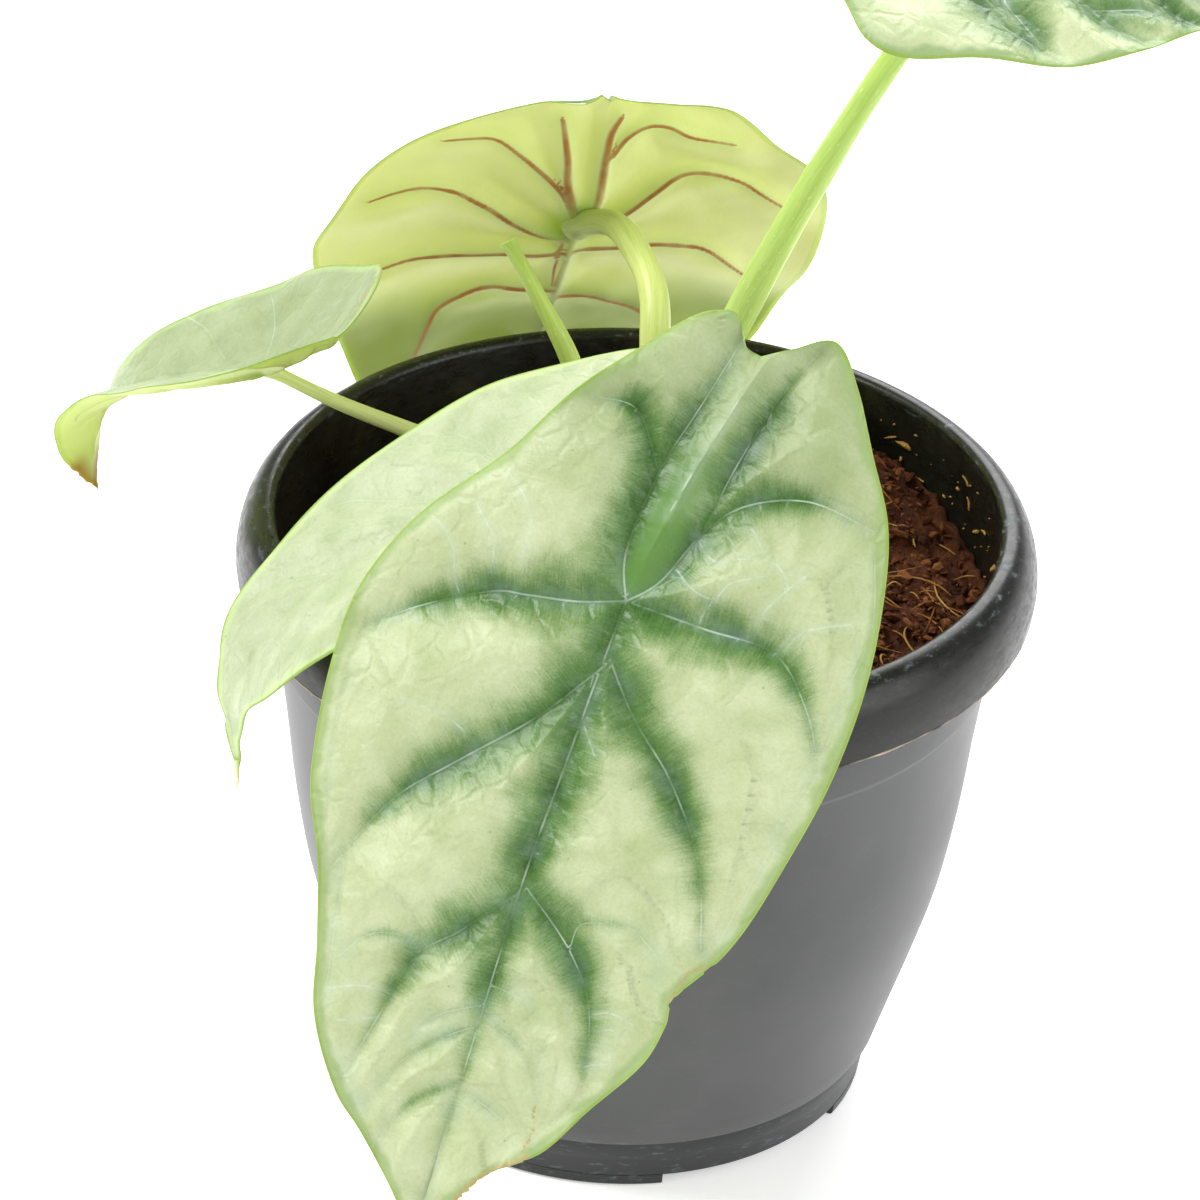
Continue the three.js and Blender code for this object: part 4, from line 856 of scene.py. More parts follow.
def fading_mark(mark, line, along):
    """How strongly a vein is marked, fading towards its end, and how far along it that is, from 0 to 1."""
    share = along / np.linalg.norm(np.diff(line, axis=0), axis=1).sum()
    return mark * (1 - 0.45 * share**2), share


def vein_marks(plan, places):
    """The nearest vein at each place, where a strong vein counts as nearer than a faint one.

    It gives the vein's real and signed distance, its run, its mark, whether it is brown below, and as
    rib a share that sinks to 0 where two veins are equally near.
    """
    best = {key: np.full(len(places), 60.0) for key in ("near", "real", "signed", "along")}
    best["mark"] = np.full(len(places), 0.1)
    best["brown"] = np.ones(len(places))
    second = np.full(len(places), 60.0)
    marked = plan.get("marked", plan["veins"] + plan["fine_veins"])
    for number, (mark, vein) in enumerate(marked):
        line = smooth_line(vein, 6 * len(vein))
        distance, side, along = beside_line(places, line)
        here, _ = fading_mark(mark, line, along)
        near = distance / (0.35 + 0.65 * here)
        closer = near < best["near"]
        second = np.where(closer, best["near"], np.minimum(second, near))
        found = {
            "near": near, "real": distance, "signed": distance * side,
            "along": along + VEIN_PATTERN_STEP * number, "mark": here,
            "brown": np.full(len(places), number not in plan.get("plain", ())),
        }
        for key, values in found.items():
            best[key][closer] = values[closer]
    best["rib"] = smooth_step(second - best["near"], 0.5, 5)
    return best


def border_reach(leaf, places):
    """How far out of the dark vein borders a place is: 0 on a strong vein, 1 or more in the silver.

    The least over all the veins counts, so that borders run together without a step.
    """
    plan = leaf["plan"]
    u, v = places.T
    towards_tip = smooth_step(v, 52, 82)
    spread = (1 + 0.45 * np.exp(-np.hypot(u, v) / 15)) * (1 - 0.45 * towards_tip)
    reach = np.full(len(places), 3.0)
    for mark, vein in plan["veins"] + plan["fine_veins"]:
        line = smooth_line(vein, 6 * len(vein))
        distance, _, along = beside_line(places, line)
        here, share = fading_mark(mark, line, along)
        here = np.minimum(1, here)
        # The green reaches furthest beside the midrib, and least towards margin and tip
        width = 1 + leaf["border"] * (0.45 + 0.55 * np.exp(-np.abs(u) / 24)) * here * spread
        strength = smooth_step(here, 0.12, 0.6) * (1 - 0.28 * towards_tip)
        strength = leaf["dark"] * strength * (1 - 0.6 * smooth_step(share, 0.6, 1))
        reach = np.minimum(reach, distance / width + 1.3 * (1 - strength))
    return reach


# The deep green channel between the two basal veins, from the joint to the notch
CHANNEL = [(0.5, -5), (1.5, -15), (3, -23.5), (5, -32), (6.5, -40)]


def channel_shares(leaf, places):
    """How deep in the smooth green channel a place is. It pales towards the notch."""
    distance, _, along = beside_line(places, smooth_line(CHANNEL, 20))
    return leaf["channel"] * np.exp(-((distance / 3.6) ** 4)) * (1 - 0.75 * smooth_step(along, 8, 30))


def net_distances(plan, places):
    """The nearest hairline's signed distance, and its plain distance."""
    nearest, signed = np.full(len(places), 20.0), np.full(len(places), 20.0)
    for line in plan["veinlets"]:
        distance, side, _ = beside_line(places, smooth_line(line, 5 * len(line)))
        closer = distance < nearest
        nearest[closer] = distance[closer]
        signed[closer] = (distance * side)[closer]
    return signed, nearest


# Where a margin was torn or nibbled: the line of the damage and how far it reaches, in millimetres
SCARS = {
    "front": [
        ([(33, 52.5), (30.5, 53.5), (29.2, 56.5), (28.2, 59.5)], 0.7),
        ([(12.5, 82), (13.5, 86), (13, 89.5)], 0.6),
        ([(14, 90), (9.5, 93.5), (7, 96.5), (5.5, 99.5), (2, 105)], 1.1),
    ],
    "left": [([(-4, -22), (-9, -25.5), (-13, -26)], 0.6), ([(4, 55), (1, 60), (-3, 55)], 2.2)],
    "left_front": [],
    "back": [],
    "right": [],
}


def scar_shares(name, places):
    """How dry and torn the leaf is at each place, from 0 to 1."""
    share = np.zeros(len(places))
    for line, reach in SCARS[name]:
        distance = beside_line(places, smooth_line(line, 12))[0]
        share = np.maximum(share, np.exp(-((distance / reach) ** 2)))
    return share


def ragged(name, places, inset):
    """Moves torn margin places a little inwards and outwards, so that the edge is ragged."""
    scar = scar_shares(name, places)
    jag = np.array([noise.noise(Vector((u * 1.3, v * 1.3, 4.0))) for u, v in places])
    pull = scar * np.exp(-inset / 1.0) * (0.25 + 0.9 * jag)
    u, v = places.T
    return np.stack([u - np.sign(u) * pull, v + 0.3 * pull], 1)


def blade(name, skins):
    """One leaf blade: quilted upper face, lower face with raised ribs, and a rounded edge between."""
    leaf = LEAVES[name]
    plan = leaf["plan"]
    length = plan["right"][-1][1] - plan["right"][0][1]
    width = max(u for u, _ in plan["right"]) - min(u for u, _ in plan["left"])
    rows = round(1.15 * length / leaf["cell"])
    columns = 2 * round(width / leaf["cell"] / 2)
    places, inset = blade_grid(plan, rows, columns)
    relief = blade_relief(leaf, places, inset)
    marks = vein_marks(plan, places)
    if SCARS[name]:
        places = ragged(name, places, inset)
    u, v = places.T
    # Veins lie in fine grooves above, and stand as ribs below, thickest at the joint
    from_joint = np.hypot(u, v)
    real_distance = marks["real"]
    strength = np.minimum(marks["mark"], 1.2)
    inland = 1 - np.exp(-inset / 1.5)
    relief = relief + leaf["puff"] * (1 - np.exp(-((real_distance / 9) ** 2)) - 0.5) * inland
    relief = relief - leaf["crease"] * strength * np.exp(-real_distance / 1.7) * inland
    soft = np.array([noise.noise(Vector((a * 0.16, b * 0.16, 1.0))) for a, b in places])
    relief = relief + 0.35 * soft * inland
    rib_width = 0.6 + 0.8 * np.exp(-from_joint / 25)
    rib = (0.05 + 0.95 * strength * (0.55 + 0.45 * np.exp(-from_joint / 30))) * inland
    rib = rib * np.exp(-((real_distance / rib_width) ** 2))
    _, out, right = blade_axes(leaf["stations"], v)
    upper = midrib_places(leaf, v) + right * u[:, None] + out * relief[:, None]
    thickness = BLADE_THICKNESS * (0.45 + 0.55 * (1 - np.exp(-inset / 1.2)))
    lower = upper - out * (thickness + rib)[:, None]
    shape = (rows + 1, columns + 1)
    upper_grid = upper.reshape(*shape, 3)
    lower_grid = lower.reshape(*shape, 3)
    points = [upper, lower]
    count = len(upper)
    faces = [grid_faces(*shape, flipped=True), grid_faces(*shape, start=count)]
    number = np.arange(count).reshape(shape)
    sources = [np.arange(count), np.arange(count)]
    for column, inner in ((0, 1), (columns, columns - 1)):
        edge_way = upper_grid[:, column] - upper_grid[:, inner]
        edge_way = edge_way / np.maximum(np.linalg.norm(edge_way, axis=1, keepdims=True), 1e-6)
        bead = (upper_grid[:, column] + lower_grid[:, column]) / 2 + MARGIN_BEAD * edge_way
        start = sum(len(block) for block in points)
        points.append(bead)
        sources.append(number[:, column])
        top, low, mid = number[:, column], number[:, column] + count, start + np.arange(rows + 1)
        for first, second in ((top, mid), (mid, low)):
            strip = np.stack([first[:-1], first[1:], second[1:], second[:-1]], 1)
            faces.append(strip if column else strip[:, ::-1])
    source = np.concatenate(sources)
    net_signed, net_distance = net_distances(plan, places)
    points = np.vstack(points)
    face_list = np.vstack(faces)
    # The upper face and the rounded edge have the upper skin
    face_skins = np.zeros(len(face_list))
    face_skins[len(faces[0]):len(faces[0]) + len(faces[1])] = 1
    attributes = {
        "vein_distance": marks["real"][source],
        "vein_signed": marks["signed"][source],
        "vein_along": marks["along"][source],
        "vein_mark": marks["mark"][source],
        "vein_brown": marks["brown"][source],
        "rib_share": marks["rib"][source],
        "border_reach": border_reach(leaf, places)[source],
        "margin_inset": inset[source],
        "net_signed": net_signed[source],
        "net_distance": net_distance[source],
        "channel": channel_shares(leaf, places)[source],
        "scar": scar_shares(name, places)[source],
        "leaf_place": np.stack([u, v, np.zeros(count)], 1)[source],
    }
    piece = make_piece("blade_" + name + "_skin", points, face_list, skins, face_skins, attributes)
    weld = piece.modifiers.new("close_notch_and_tip", "WELD")
    weld.merge_threshold = 0.02 * MM
    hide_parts("blade_" + name)
    return piece


def stalk_line(points, count):
    """A centripetal Catmull-Rom line through the route, evenly spaced, as in the solids, and its length."""
    points = np.array(points, float)
    padded = np.vstack([2 * points[0] - points[1], points, 2 * points[-1] - points[-2]])
    t = np.linspace(0, 1, LINE_STEPS, endpoint=False)[:, None]
    dense = []
    for i in range(len(points) - 1):
        p0, p1, p2, p3 = padded[i:i + 4]
        gap0, gap1, gap2 = [math.sqrt(np.linalg.norm(b - a)) for a, b in ((p0, p1), (p1, p2), (p2, p3))]
        slope1 = ((p1 - p0) / gap0 - (p2 - p0) / (gap0 + gap1) + (p2 - p1) / gap1) * gap1
        slope2 = ((p2 - p1) / gap1 - (p3 - p1) / (gap1 + gap2) + (p3 - p2) / gap2) * gap1
        dense.append(cubic(p1, p2, slope1, slope2, t))
    return spaced_evenly(np.vstack([*dense, points[-1:]]), count)


def tube(line, radii, sides):
    """Points and faces of a closed round tube along a line, with its radius given at each point."""
    forward = np.gradient(line, axis=0)
    forward /= np.linalg.norm(forward, axis=1, keepdims=True)
    across = np.cross(forward[0], [0.3, 0.2, 1.0] if abs(forward[0][2]) < 0.9 else [1.0, 0.2, 0.1])
    points = []
    angles = 2 * np.pi * np.arange(sides) / sides
    for place, way, radius in zip(line, forward, radii):
        across = across - way * (across @ way)
        across /= np.linalg.norm(across)
        up = np.cross(way, across)
        points.append(place + radius * (np.cos(angles)[:, None] * across + np.sin(angles)[:, None] * up))
    points = np.vstack(points)
    faces = [list(face) for face in grid_faces(len(line), sides, closed=True)]
    last = (len(line) - 1) * sides
    faces.append(list(range(sides))[::-1])
    faces.append(list(range(last, last + sides)))
    return points, faces


def stalk(name, skin):
    """A stalk that swells into its sheath at the foot and flares where it meets the blade."""
    route, foot, end = STALKS[name]
    leaf = LEAVES.get(name)
    route = [np.array(place, float) for place in route]
    if leaf:
        out = blade_axes(leaf["stations"], np.zeros(1))[1][0]
        depth = (leaf["quilt"] + leaf["puff"] + BLADE_THICKNESS) / 2 + 1.1 * leaf["crease"]
        route.append(np.array(leaf["joint"]) - out * depth)
    line, length = stalk_line(route, STALK_STEPS)
    share = np.linspace(0, 1, STALK_STEPS + 1)
    radii = end + (foot - end) * (1 - share) ** STALK_TAPER
    from_foot = share * length
    radii = radii * (1 + 0.28 * np.exp(-((from_foot / 9) ** 2)))
    if leaf:
        radii = radii * (1 + 0.4 * np.exp(-((length - from_foot) / 2.4) ** 2))
    else:
        radii = radii * (1 + 0.1 * np.exp(-((length - from_foot) / 1.5) ** 2))
    wobble = np.array([noise.noise(Vector((s * 0.09, foot, 2.0))) for s in from_foot])
    radii = radii * (1 + 0.05 * wobble)
    sides = STALK_SIDES
    points, faces = tube(line, radii, sides)
    if leaf:
        # The end lies flat inside the blade
        above = np.maximum(0, (points - leaf["joint"]) @ out + depth)
        points = points - above[:, None] * out
    angles = np.tile(np.arange(sides) / sides * 2 * np.pi, STALK_STEPS + 1)
    around = np.repeat(radii, sides) * angles
    place = np.stack([around, np.repeat(from_foot, sides), np.zeros(len(points))], 1)
    attributes = {"stalk_share": np.repeat(share, sides), "stalk_place": place}
    piece = make_piece(
        "petiole_" + name + "_skin", points, faces, [skin], attributes=attributes, sharp_degrees=55
    )
    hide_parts("petiole_" + name)
    return piece


def worn_flash():
    """Thin moulding flash, rubbed pale and dull, with coir dust on it."""
    made, tree, shader = new_material("worn_moulding_flash", IOR=1.49, Roughness=0.7)
    place = add_node(tree, "TexCoord", out=3)
    dust = add_node(tree, "TexNoise", {"Vector": place, "Scale": 160.0, "Detail": 3.0})
    skin = add_node(
        tree, "ValToRGB", {0: dust}, stops=[(0.35, "#3b3833"), (0.5, "#85796a"), (0.65, "#b8a88e")]
    )
    tree.links.new(skin, shader.inputs["Base Color"])
    return made


def lathe(profile, segments):
    """Points and faces of a closed profile of (radius, height) turned about the pot's axis."""
    angles = 2 * np.pi * np.arange(segments) / segments
    profile = np.array(profile, float)
    radius, height = profile[:, 0:1], profile[:, 1:2]
    points = np.stack([radius * np.cos(angles), radius * np.sin(angles), height + 0 * angles], -1)
    return points.reshape(-1, 3), grid_faces(len(profile), segments, closed=True)


def level_ring(radius, height, count):
    """Points of a level circle about the pot's axis."""
    angles = [2 * math.pi * k / count for k in range(count)]
    return [(radius * math.cos(angle), radius * math.sin(angle), height) for angle in angles]


def wall_radius(height):
    """The wall's outer radius at a height."""
    return np.interp(height, *np.array(WALL_OUTSIDE, float).T)


def inner_wall_radius(height):
    """How far out the coir can reach at a height."""
    return float(wall_radius(height)) - POT_WALL - SOIL_CLEARANCE


def pot_profile():
    """The moulding's section: floor, wall with its fine collar, rolled lip with a hollow under it."""
    heights = np.concatenate([np.linspace(11.4, 87.6, 26), [88, 88.5, 89.1, 89.6, 92, 96, 100, 102.6]])
    knots = np.array(WALL_OUTSIDE, float)
    smooth = np.interp(heights, *smooth_line(knots, 160).T)
    lip_top = POT_HEIGHT - LIP_DROP
    bulge = RIM_RADIUS - MOUTH_RADIUS
    turn = np.radians(np.linspace(0, 90, 13))
    lip = [(MOUTH_RADIUS + bulge * math.cos(a), lip_top + LIP_DROP * math.sin(a)) for a in turn]
    inner_heights = np.linspace(101, 13, 24)
    inner = np.interp(inner_heights, *smooth_line(knots, 160).T) - POT_WALL
    mouth = MOUTH_RADIUS - POT_WALL
    return [
        (0.01, FLOOR_UNDERSIDE), (FOOT_RADIUS - 0.6, FLOOR_UNDERSIDE),
        (FOOT_RADIUS - 0.1, FLOOR_UNDERSIDE + 0.3), (FOOT_RADIUS + 0.1, FLOOR_UNDERSIDE + 0.9),
        (46.3, FOOT_STEP - 0.3), (46.7, FOOT_STEP + 0.2), (47.5, FOOT_STEP + 0.4),
        *zip(smooth, heights),
        (65.2, 103.1), (RIM_RADIUS - 1.9, 103.1), (RIM_RADIUS - 1.4, 102.7),
        (RIM_RADIUS - 1.4, LIP_FOOT + 0.2), (RIM_RADIUS - 1.2, LIP_FOOT), (RIM_RADIUS - 0.6, LIP_FOOT),
        (RIM_RADIUS - 0.3, LIP_FOOT + 0.3),
        *lip,
        (mouth + 0.9, POT_HEIGHT - 0.1), (mouth + 0.3, POT_HEIGHT - 0.5), (mouth, POT_HEIGHT - 1.2),
        *zip(inner, inner_heights),
        (47.0, 10), (45.6, 5.6), (44.8, 4.2), (43.6, FLOOR_TOP), (0.01, FLOOR_TOP),
    ]


def pot_shell(plastic):
    """The one-piece pot, lathed and then bored for its drain holes."""
    points, faces = lathe(pot_profile(), POT_SEGMENTS)
    profile_length = len(points) // POT_SEGMENTS
    last = (profile_length - 1) * POT_SEGMENTS
    closing = [list(range(POT_SEGMENTS))[::-1], list(range(last, last + POT_SEGMENTS))]
    piece = make_piece("pot_moulding", points, [*faces.tolist(), *closing], [plastic])
    cutter_points, cutter_faces = [], []
    for hole in range(DRAIN_HOLES):
        angle = (hole + 0.5) * 2 * math.pi / DRAIN_HOLES
        x, y = DRAIN_HOLE_RING * math.cos(angle), DRAIN_HOLE_RING * math.sin(angle)
        line = np.array([(x, y, -1.0), (x, y, FLOOR_TOP + 1.0)])
        points, faces = tube(line, [DRAIN_HOLE_RADIUS] * 2, CUTTER_SIDES)
        start = len(cutter_points) * len(points)
        cutter_points.append(points)
        cutter_faces += [[start + k for k in face] for face in faces]
    mesh = bpy.data.meshes.new("drain_hole_cutters")
    mesh.from_pydata((np.vstack(cutter_points) * MM).tolist(), [], cutter_faces)
    cutter = bpy.data.objects.new("drain_hole_cutters", mesh)
    bpy.context.scene.collection.objects.link(cutter)
    cut = piece.modifiers.new("drain_holes", "BOOLEAN")
    cut.object = cutter
    cut.solver = "EXACT"
    bpy.context.view_layer.update()
    bored = bpy.data.meshes.new_from_object(piece.evaluated_get(bpy.context.evaluated_depsgraph_get()))
    piece.modifiers.clear()
    piece.data = bored
    bpy.data.objects.remove(cutter)
    bored.set_sharp_from_angle(angle=math.radians(38))
    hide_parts("pot")
    return piece


def foot_blocks(plastic):
    """The four short arcs that the pot stands on, and the pad in its middle, with eased edges."""
    points, faces = [], []
    ease = 0.4
    top = FLOOR_UNDERSIDE + 0.4
    inner, outer = FOOT_RADIUS - FOOT_WIDTH, FOOT_RADIUS
    section = [
        (inner, top), (inner, ease), (inner + ease, 0), (outer - ease - 0.3, 0), (outer - 0.3, ease),
        (outer, top),
    ]
    for heading in FOOT_HEADINGS:
        start = len(points)
        angles = np.radians(heading + np.linspace(-FOOT_SPREAD / 2, FOOT_SPREAD / 2, 25))
        for angle in angles:
            points += [(r * math.cos(angle), r * math.sin(angle), z) for r, z in section]
        size = len(section)
        faces += grid_faces(len(angles), size, start=start, closed=True, flipped=True).tolist()
        last = start + (len(angles) - 1) * size
        faces += [list(range(start, start + size)), list(range(last, last + size))[::-1]]
    start = len(points)
    around = PAD_SEGMENTS
    pad = [(CENTRE_PAD_RADIUS, top), (CENTRE_PAD_RADIUS, ease), (CENTRE_PAD_RADIUS - ease, 0)]
    for radius, height in pad:
        points += level_ring(radius, height, around)
    faces += grid_faces(3, around, start=start, closed=True, flipped=True).tolist()
    last = start + 2 * around
    faces += [list(range(start, start + around)), list(range(last, last + around))[::-1]]
    piece = make_piece("pot_feet", points, faces, [plastic], sharp_degrees=25)
    return piece


def lip_flash(plastic):
    """The thin torn line of flash that the mould left under the lip, with a burr here and there."""
    segments = FLASH_SEGMENTS
    angles = 2 * np.pi * np.arange(segments) / segments
    burr = np.array([noise.noise(Vector((9 * math.cos(a), 9 * math.sin(a), 0.0))) for a in angles])
    fine = np.array([noise.noise(Vector((90 * math.cos(a), 90 * math.sin(a), 5.0))) for a in angles])
    drop = 0.12 + 0.3 * np.clip(burr + 0.2, 0, 1) + 1.2 * np.clip(fine - 0.3, 0, 1)
    points = []
    for radius, height in (
        (RIM_RADIUS - 0.62, LIP_FOOT + 0.15 + 0 * drop), (RIM_RADIUS - 0.36, LIP_FOOT + 0.15 + 0 * drop),
        (RIM_RADIUS - 0.42, LIP_FOOT - drop), (RIM_RADIUS - 0.56, LIP_FOOT - drop),
    ):
        points.append(np.stack([radius * np.cos(angles), radius * np.sin(angles), height], 1))
    points = np.vstack(points)
    faces = grid_faces(4, segments, closed=True)
    closing = np.stack([
        3 * segments + np.arange(segments), 3 * segments + (np.arange(segments) + 1) % segments,
        (np.arange(segments) + 1) % segments, np.arange(segments),
    ], 1)
    piece = make_piece("pot_lip_flash", points, np.vstack([faces, closing])[:, ::-1], [plastic])
    return piece


def coir_height(x, y):
    """The coir's surface in millimetres, as in the solids, with finer crumbling added."""
    from_crown = math.hypot(x - CROWN_CENTRE[0], y - CROWN_CENTRE[1])
    mound = SOIL_MOUND * 0.5 * (1 + math.cos(math.pi * min(1, from_crown / SOIL_MOUND_RADIUS)))
    rise = SOIL_RISE_TO_RIGHT * max(0, x) / SOIL_MOUND_RADIUS
    from_heap = math.hypot(x - SOIL_HEAP_CENTRE[0], y - SOIL_HEAP_CENTRE[1])
    heap = SOIL_HEAP * math.exp(-((from_heap / SOIL_HEAP_RADIUS) ** 2))
    broad = math.sin(0.13 * x + 1.7) * math.sin(0.11 * y + 0.4)
    middle = math.sin(0.31 * x - 0.23 * y) * math.cos(0.27 * y + 0.19 * x)
    fine = math.sin(0.9 * x + 0.5 * y) * math.sin(0.8 * y - 0.6 * x + 2)
    edge = min(1, math.hypot(x, y) / COIR_EDGE_RADIUS)
    lumps = SOIL_LUMPS * (broad + 0.7 * middle + 0.5 * fine) * (1 - edge**6)
    crumble = 1.5 * noise.fractal(Vector((x * 0.42, y * 0.42, 0.0)), 0.6, 2.1, 5)
    return SOIL_EDGE_HEIGHT + mound + rise + heap + lumps + crumble


COIR_EDGE_RADIUS = inner_wall_radius(SOIL_EDGE_HEIGHT)


def coir_fill(husk):
    """The coir: its crumbled surface, and a plain block below it down to the pot's floor."""
    rings, around = COIR_RINGS, COIR_SEGMENTS
    points = [(0, 0, coir_height(0, 0))]
    for ring in range(1, rings + 1):
        for k in range(around):
            angle = 2 * math.pi * k / around
            radius = COIR_EDGE_RADIUS * ring / rings
            x, y = radius * math.cos(angle), radius * math.sin(angle)
            height = coir_height(x, y)
            # Where the coir is heaped, it follows the wall outwards
            spread = 1 + (inner_wall_radius(height) / COIR_EDGE_RADIUS - 1) * (ring / rings) ** 8
            points.append((x * spread, y * spread, height))
    side = [(inner_wall_radius(h), h) for h in (82, 75, 60, 45, 32, 20)]
    side += [(45.2, 7), (43.2, FLOOR_TOP + 0.1)]
    for radius, height in side:
        points += level_ring(radius, height, around)
    layers = rings + len(side)
    faces = grid_faces(layers, around, start=1, closed=True, flipped=True).tolist()
    faces += [[0, 1 + k, 1 + (k + 1) % around] for k in range(around)]
    last = 1 + (layers - 1) * around
    faces.append(list(range(last, last + around))[::-1])
    tint = [0.25 + 0.3 * noise.noise(Vector((x * 0.2, y * 0.2, z * 0.2))) for x, y, z in points]
    piece = make_piece("coir_fill", points, faces, [husk], attributes={"grain_tint": tint})
    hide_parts("soil")
    return piece


ICO = (1 + math.sqrt(5)) / 2
CRUMB_POINTS = np.array([
    (-1, ICO, 0), (1, ICO, 0), (-1, -ICO, 0), (1, -ICO, 0), (0, -1, ICO), (0, 1, ICO), (0, -1, -ICO),
    (0, 1, -ICO), (ICO, 0, -1), (ICO, 0, 1), (-ICO, 0, -1), (-ICO, 0, 1),
]) / math.hypot(1, ICO)
CRUMB_FACES = np.array([
    (0, 11, 5), (0, 5, 1), (0, 1, 7), (0, 7, 10), (0, 10, 11), (1, 5, 9), (5, 11, 4), (11, 10, 2), (10, 7, 6),
    (7, 1, 8), (3, 9, 4), (3, 4, 2), (3, 2, 6), (3, 6, 8), (3, 8, 9), (4, 9, 5), (2, 4, 11), (6, 2, 10),
    (8, 6, 7), (9, 8, 1),
])


def crumb(draw, place, size):
    """One crumb of pith: a knobbly lump turned at random."""
    turn = Matrix.Rotation(draw.uniform(0, 6.28), 3, "Z") @ Matrix.Rotation(draw.uniform(0, 6.28), 3, "X")
    stretch = np.array([draw.uniform(0.8, 2.2), draw.uniform(0.5, 1.1), draw.uniform(0.4, 0.9)]) * size
    knobs = np.array([draw.uniform(0.6, 1.4) for _ in range(12)])[:, None]
    return (CRUMB_POINTS * knobs * stretch) @ np.array(turn).T + place


def coir_crumbs(husk, draw):
    """Loose crumbs of pith lying on the coir, most of them about 1 mm long and the largest 4 mm."""
    points, faces, tint = [], [], []
    while len(points) < CRUMB_COUNT:
        radius = COIR_EDGE_RADIUS * math.sqrt(draw.random()) * 0.985
        angle = draw.uniform(0, 2 * math.pi)
        x, y = radius * math.cos(angle), radius * math.sin(angle)
        if math.hypot(x - CROWN_CENTRE[0], y - CROWN_CENTRE[1]) < CROWN_RADIUS:
            continue
        size = 0.3 + 0.95 * draw.random() ** 4
        place = np.array([x, y, coir_height(x, y) + size * draw.uniform(0.0, 0.5)])
        faces.append(CRUMB_FACES + 12 * len(points))
        points.append(crumb(draw, place, size))
        tint += [draw.uniform(-0.05, 0.55)] * 12
    piece = make_piece(
        "coir_crumbs", np.vstack(points), np.vstack(faces), [husk], attributes={"grain_tint": tint},
        sharp_degrees=25,
    )
    return piece


def fibre_line(draw, start, length, lift):
    """A fibre's bent line: it starts at a place, wanders and bows up in its middle."""
    heading = draw.uniform(0, 2 * math.pi)
    steps = 8
    line = [np.array(start, float)]
    turn = draw.uniform(-FIBRE_BEND, FIBRE_BEND)
    for _ in range(steps):
        heading += turn + draw.uniform(-0.5, 0.5) * FIBRE_BEND
        move = np.array([math.cos(heading), math.sin(heading), 0.0]) * length / steps
        line.append(line[-1] + move)
    line = np.array(line)
    bow = lift * np.sin(np.linspace(0, math.pi, steps + 1))
    line[:, 2] += bow + draw.uniform(-0.2, 0.6) * lift * np.linspace(0, 1, steps + 1)
    return line


def coir_fibres(husk, draw):
    """Pale husk fibres, 3 to 17 mm long and 0.16 to 0.4 mm thick, caught in the surface."""
    points, faces, tint = [], [], []
    for _ in range(FIBRE_TRIES):
        radius = COIR_EDGE_RADIUS * math.sqrt(draw.random()) * 0.93
        angle = draw.uniform(0, 2 * math.pi)
        x, y = radius * math.cos(angle), radius * math.sin(angle)
        length = 3 + 14 * draw.random() ** 2
        line = fibre_line(draw, (x, y, 0), length, draw.uniform(0.0, 1.0))
        if np.hypot(line[:, 0], line[:, 1]).max() > COIR_EDGE_RADIUS - 0.6:
            continue
        if np.hypot(line[:, 0] - CROWN_CENTRE[0], line[:, 1] - CROWN_CENTRE[1]).min() < CROWN_RADIUS + 0.5:
            continue
        # A stiff fibre keeps its own line and spans the hollows
        ground = np.array([coir_height(a, b) for a, b, _ in line])
        chord = np.linspace(ground[0], ground[-1], len(line))
        line[:, 2] += chord + 0.7 * max(0, (ground - chord).max()) + 0.1
        thick = draw.uniform(0.08, 0.2)
        radii = thick * np.sin(np.linspace(0.25, math.pi - 0.25, len(line))) ** 0.5
        tube_points, tube_faces = tube(line, radii, 5)
        start = sum(len(block) for block in points)
        points.append(tube_points)
        faces += [[start + k for k in face] for face in tube_faces]
        tint += [draw.uniform(0.0, 0.6)] * len(tube_points)
    piece = make_piece("coir_fibres", np.vstack(points), faces, [husk], attributes={"grain_tint": tint})
    return piece


def coir_on_wall(husk, draw):
    """Crumbs and short fibres that stuck to the damp inner wall, most of them at the right."""
    points, faces, tint = [], [], []
    for number in range(WALL_PIECE_COUNT):
        heading = math.radians(draw.gauss(18, 32))
        height = 91 + 17 * draw.random() ** 1.4
        radius = float(wall_radius(height)) - POT_WALL
        size = 0.2 + 0.75 * draw.random() ** 3
        middle = np.array([radius * math.cos(heading), radius * math.sin(heading), height])
        inwards = -np.array([math.cos(heading), math.sin(heading), 0.0])
        start = sum(len(block) for block in points)
        if number % 5:
            block = crumb(draw, middle + inwards * 0.35 * size, size)
            block_faces = (CRUMB_FACES + start).tolist()
        else:
            level = np.array([-math.sin(heading), math.cos(heading), 0.0])
            lean = draw.uniform(-1.2, 1.2)
            way = level * math.cos(lean) + np.array([0, 0, 1.0]) * math.sin(lean)
            length = draw.uniform(1.5, 4)
            share = np.linspace(-0.5, 0.5, 6)[:, None]
            line = middle + way * share * length + inwards * (0.25 + 0.9 * share**2)
            block, tube_faces = tube(line, [0.12, 0.2, 0.24, 0.22, 0.18, 0.1], 5)
            block_faces = [[start + k for k in face] for face in tube_faces]
        points.append(block)
        faces += block_faces
        tint += [draw.uniform(0.25, 0.6)] * len(block)
    piece = make_piece("coir_on_wall", np.vstack(points), faces, [husk], attributes={"grain_tint": tint})
    return piece


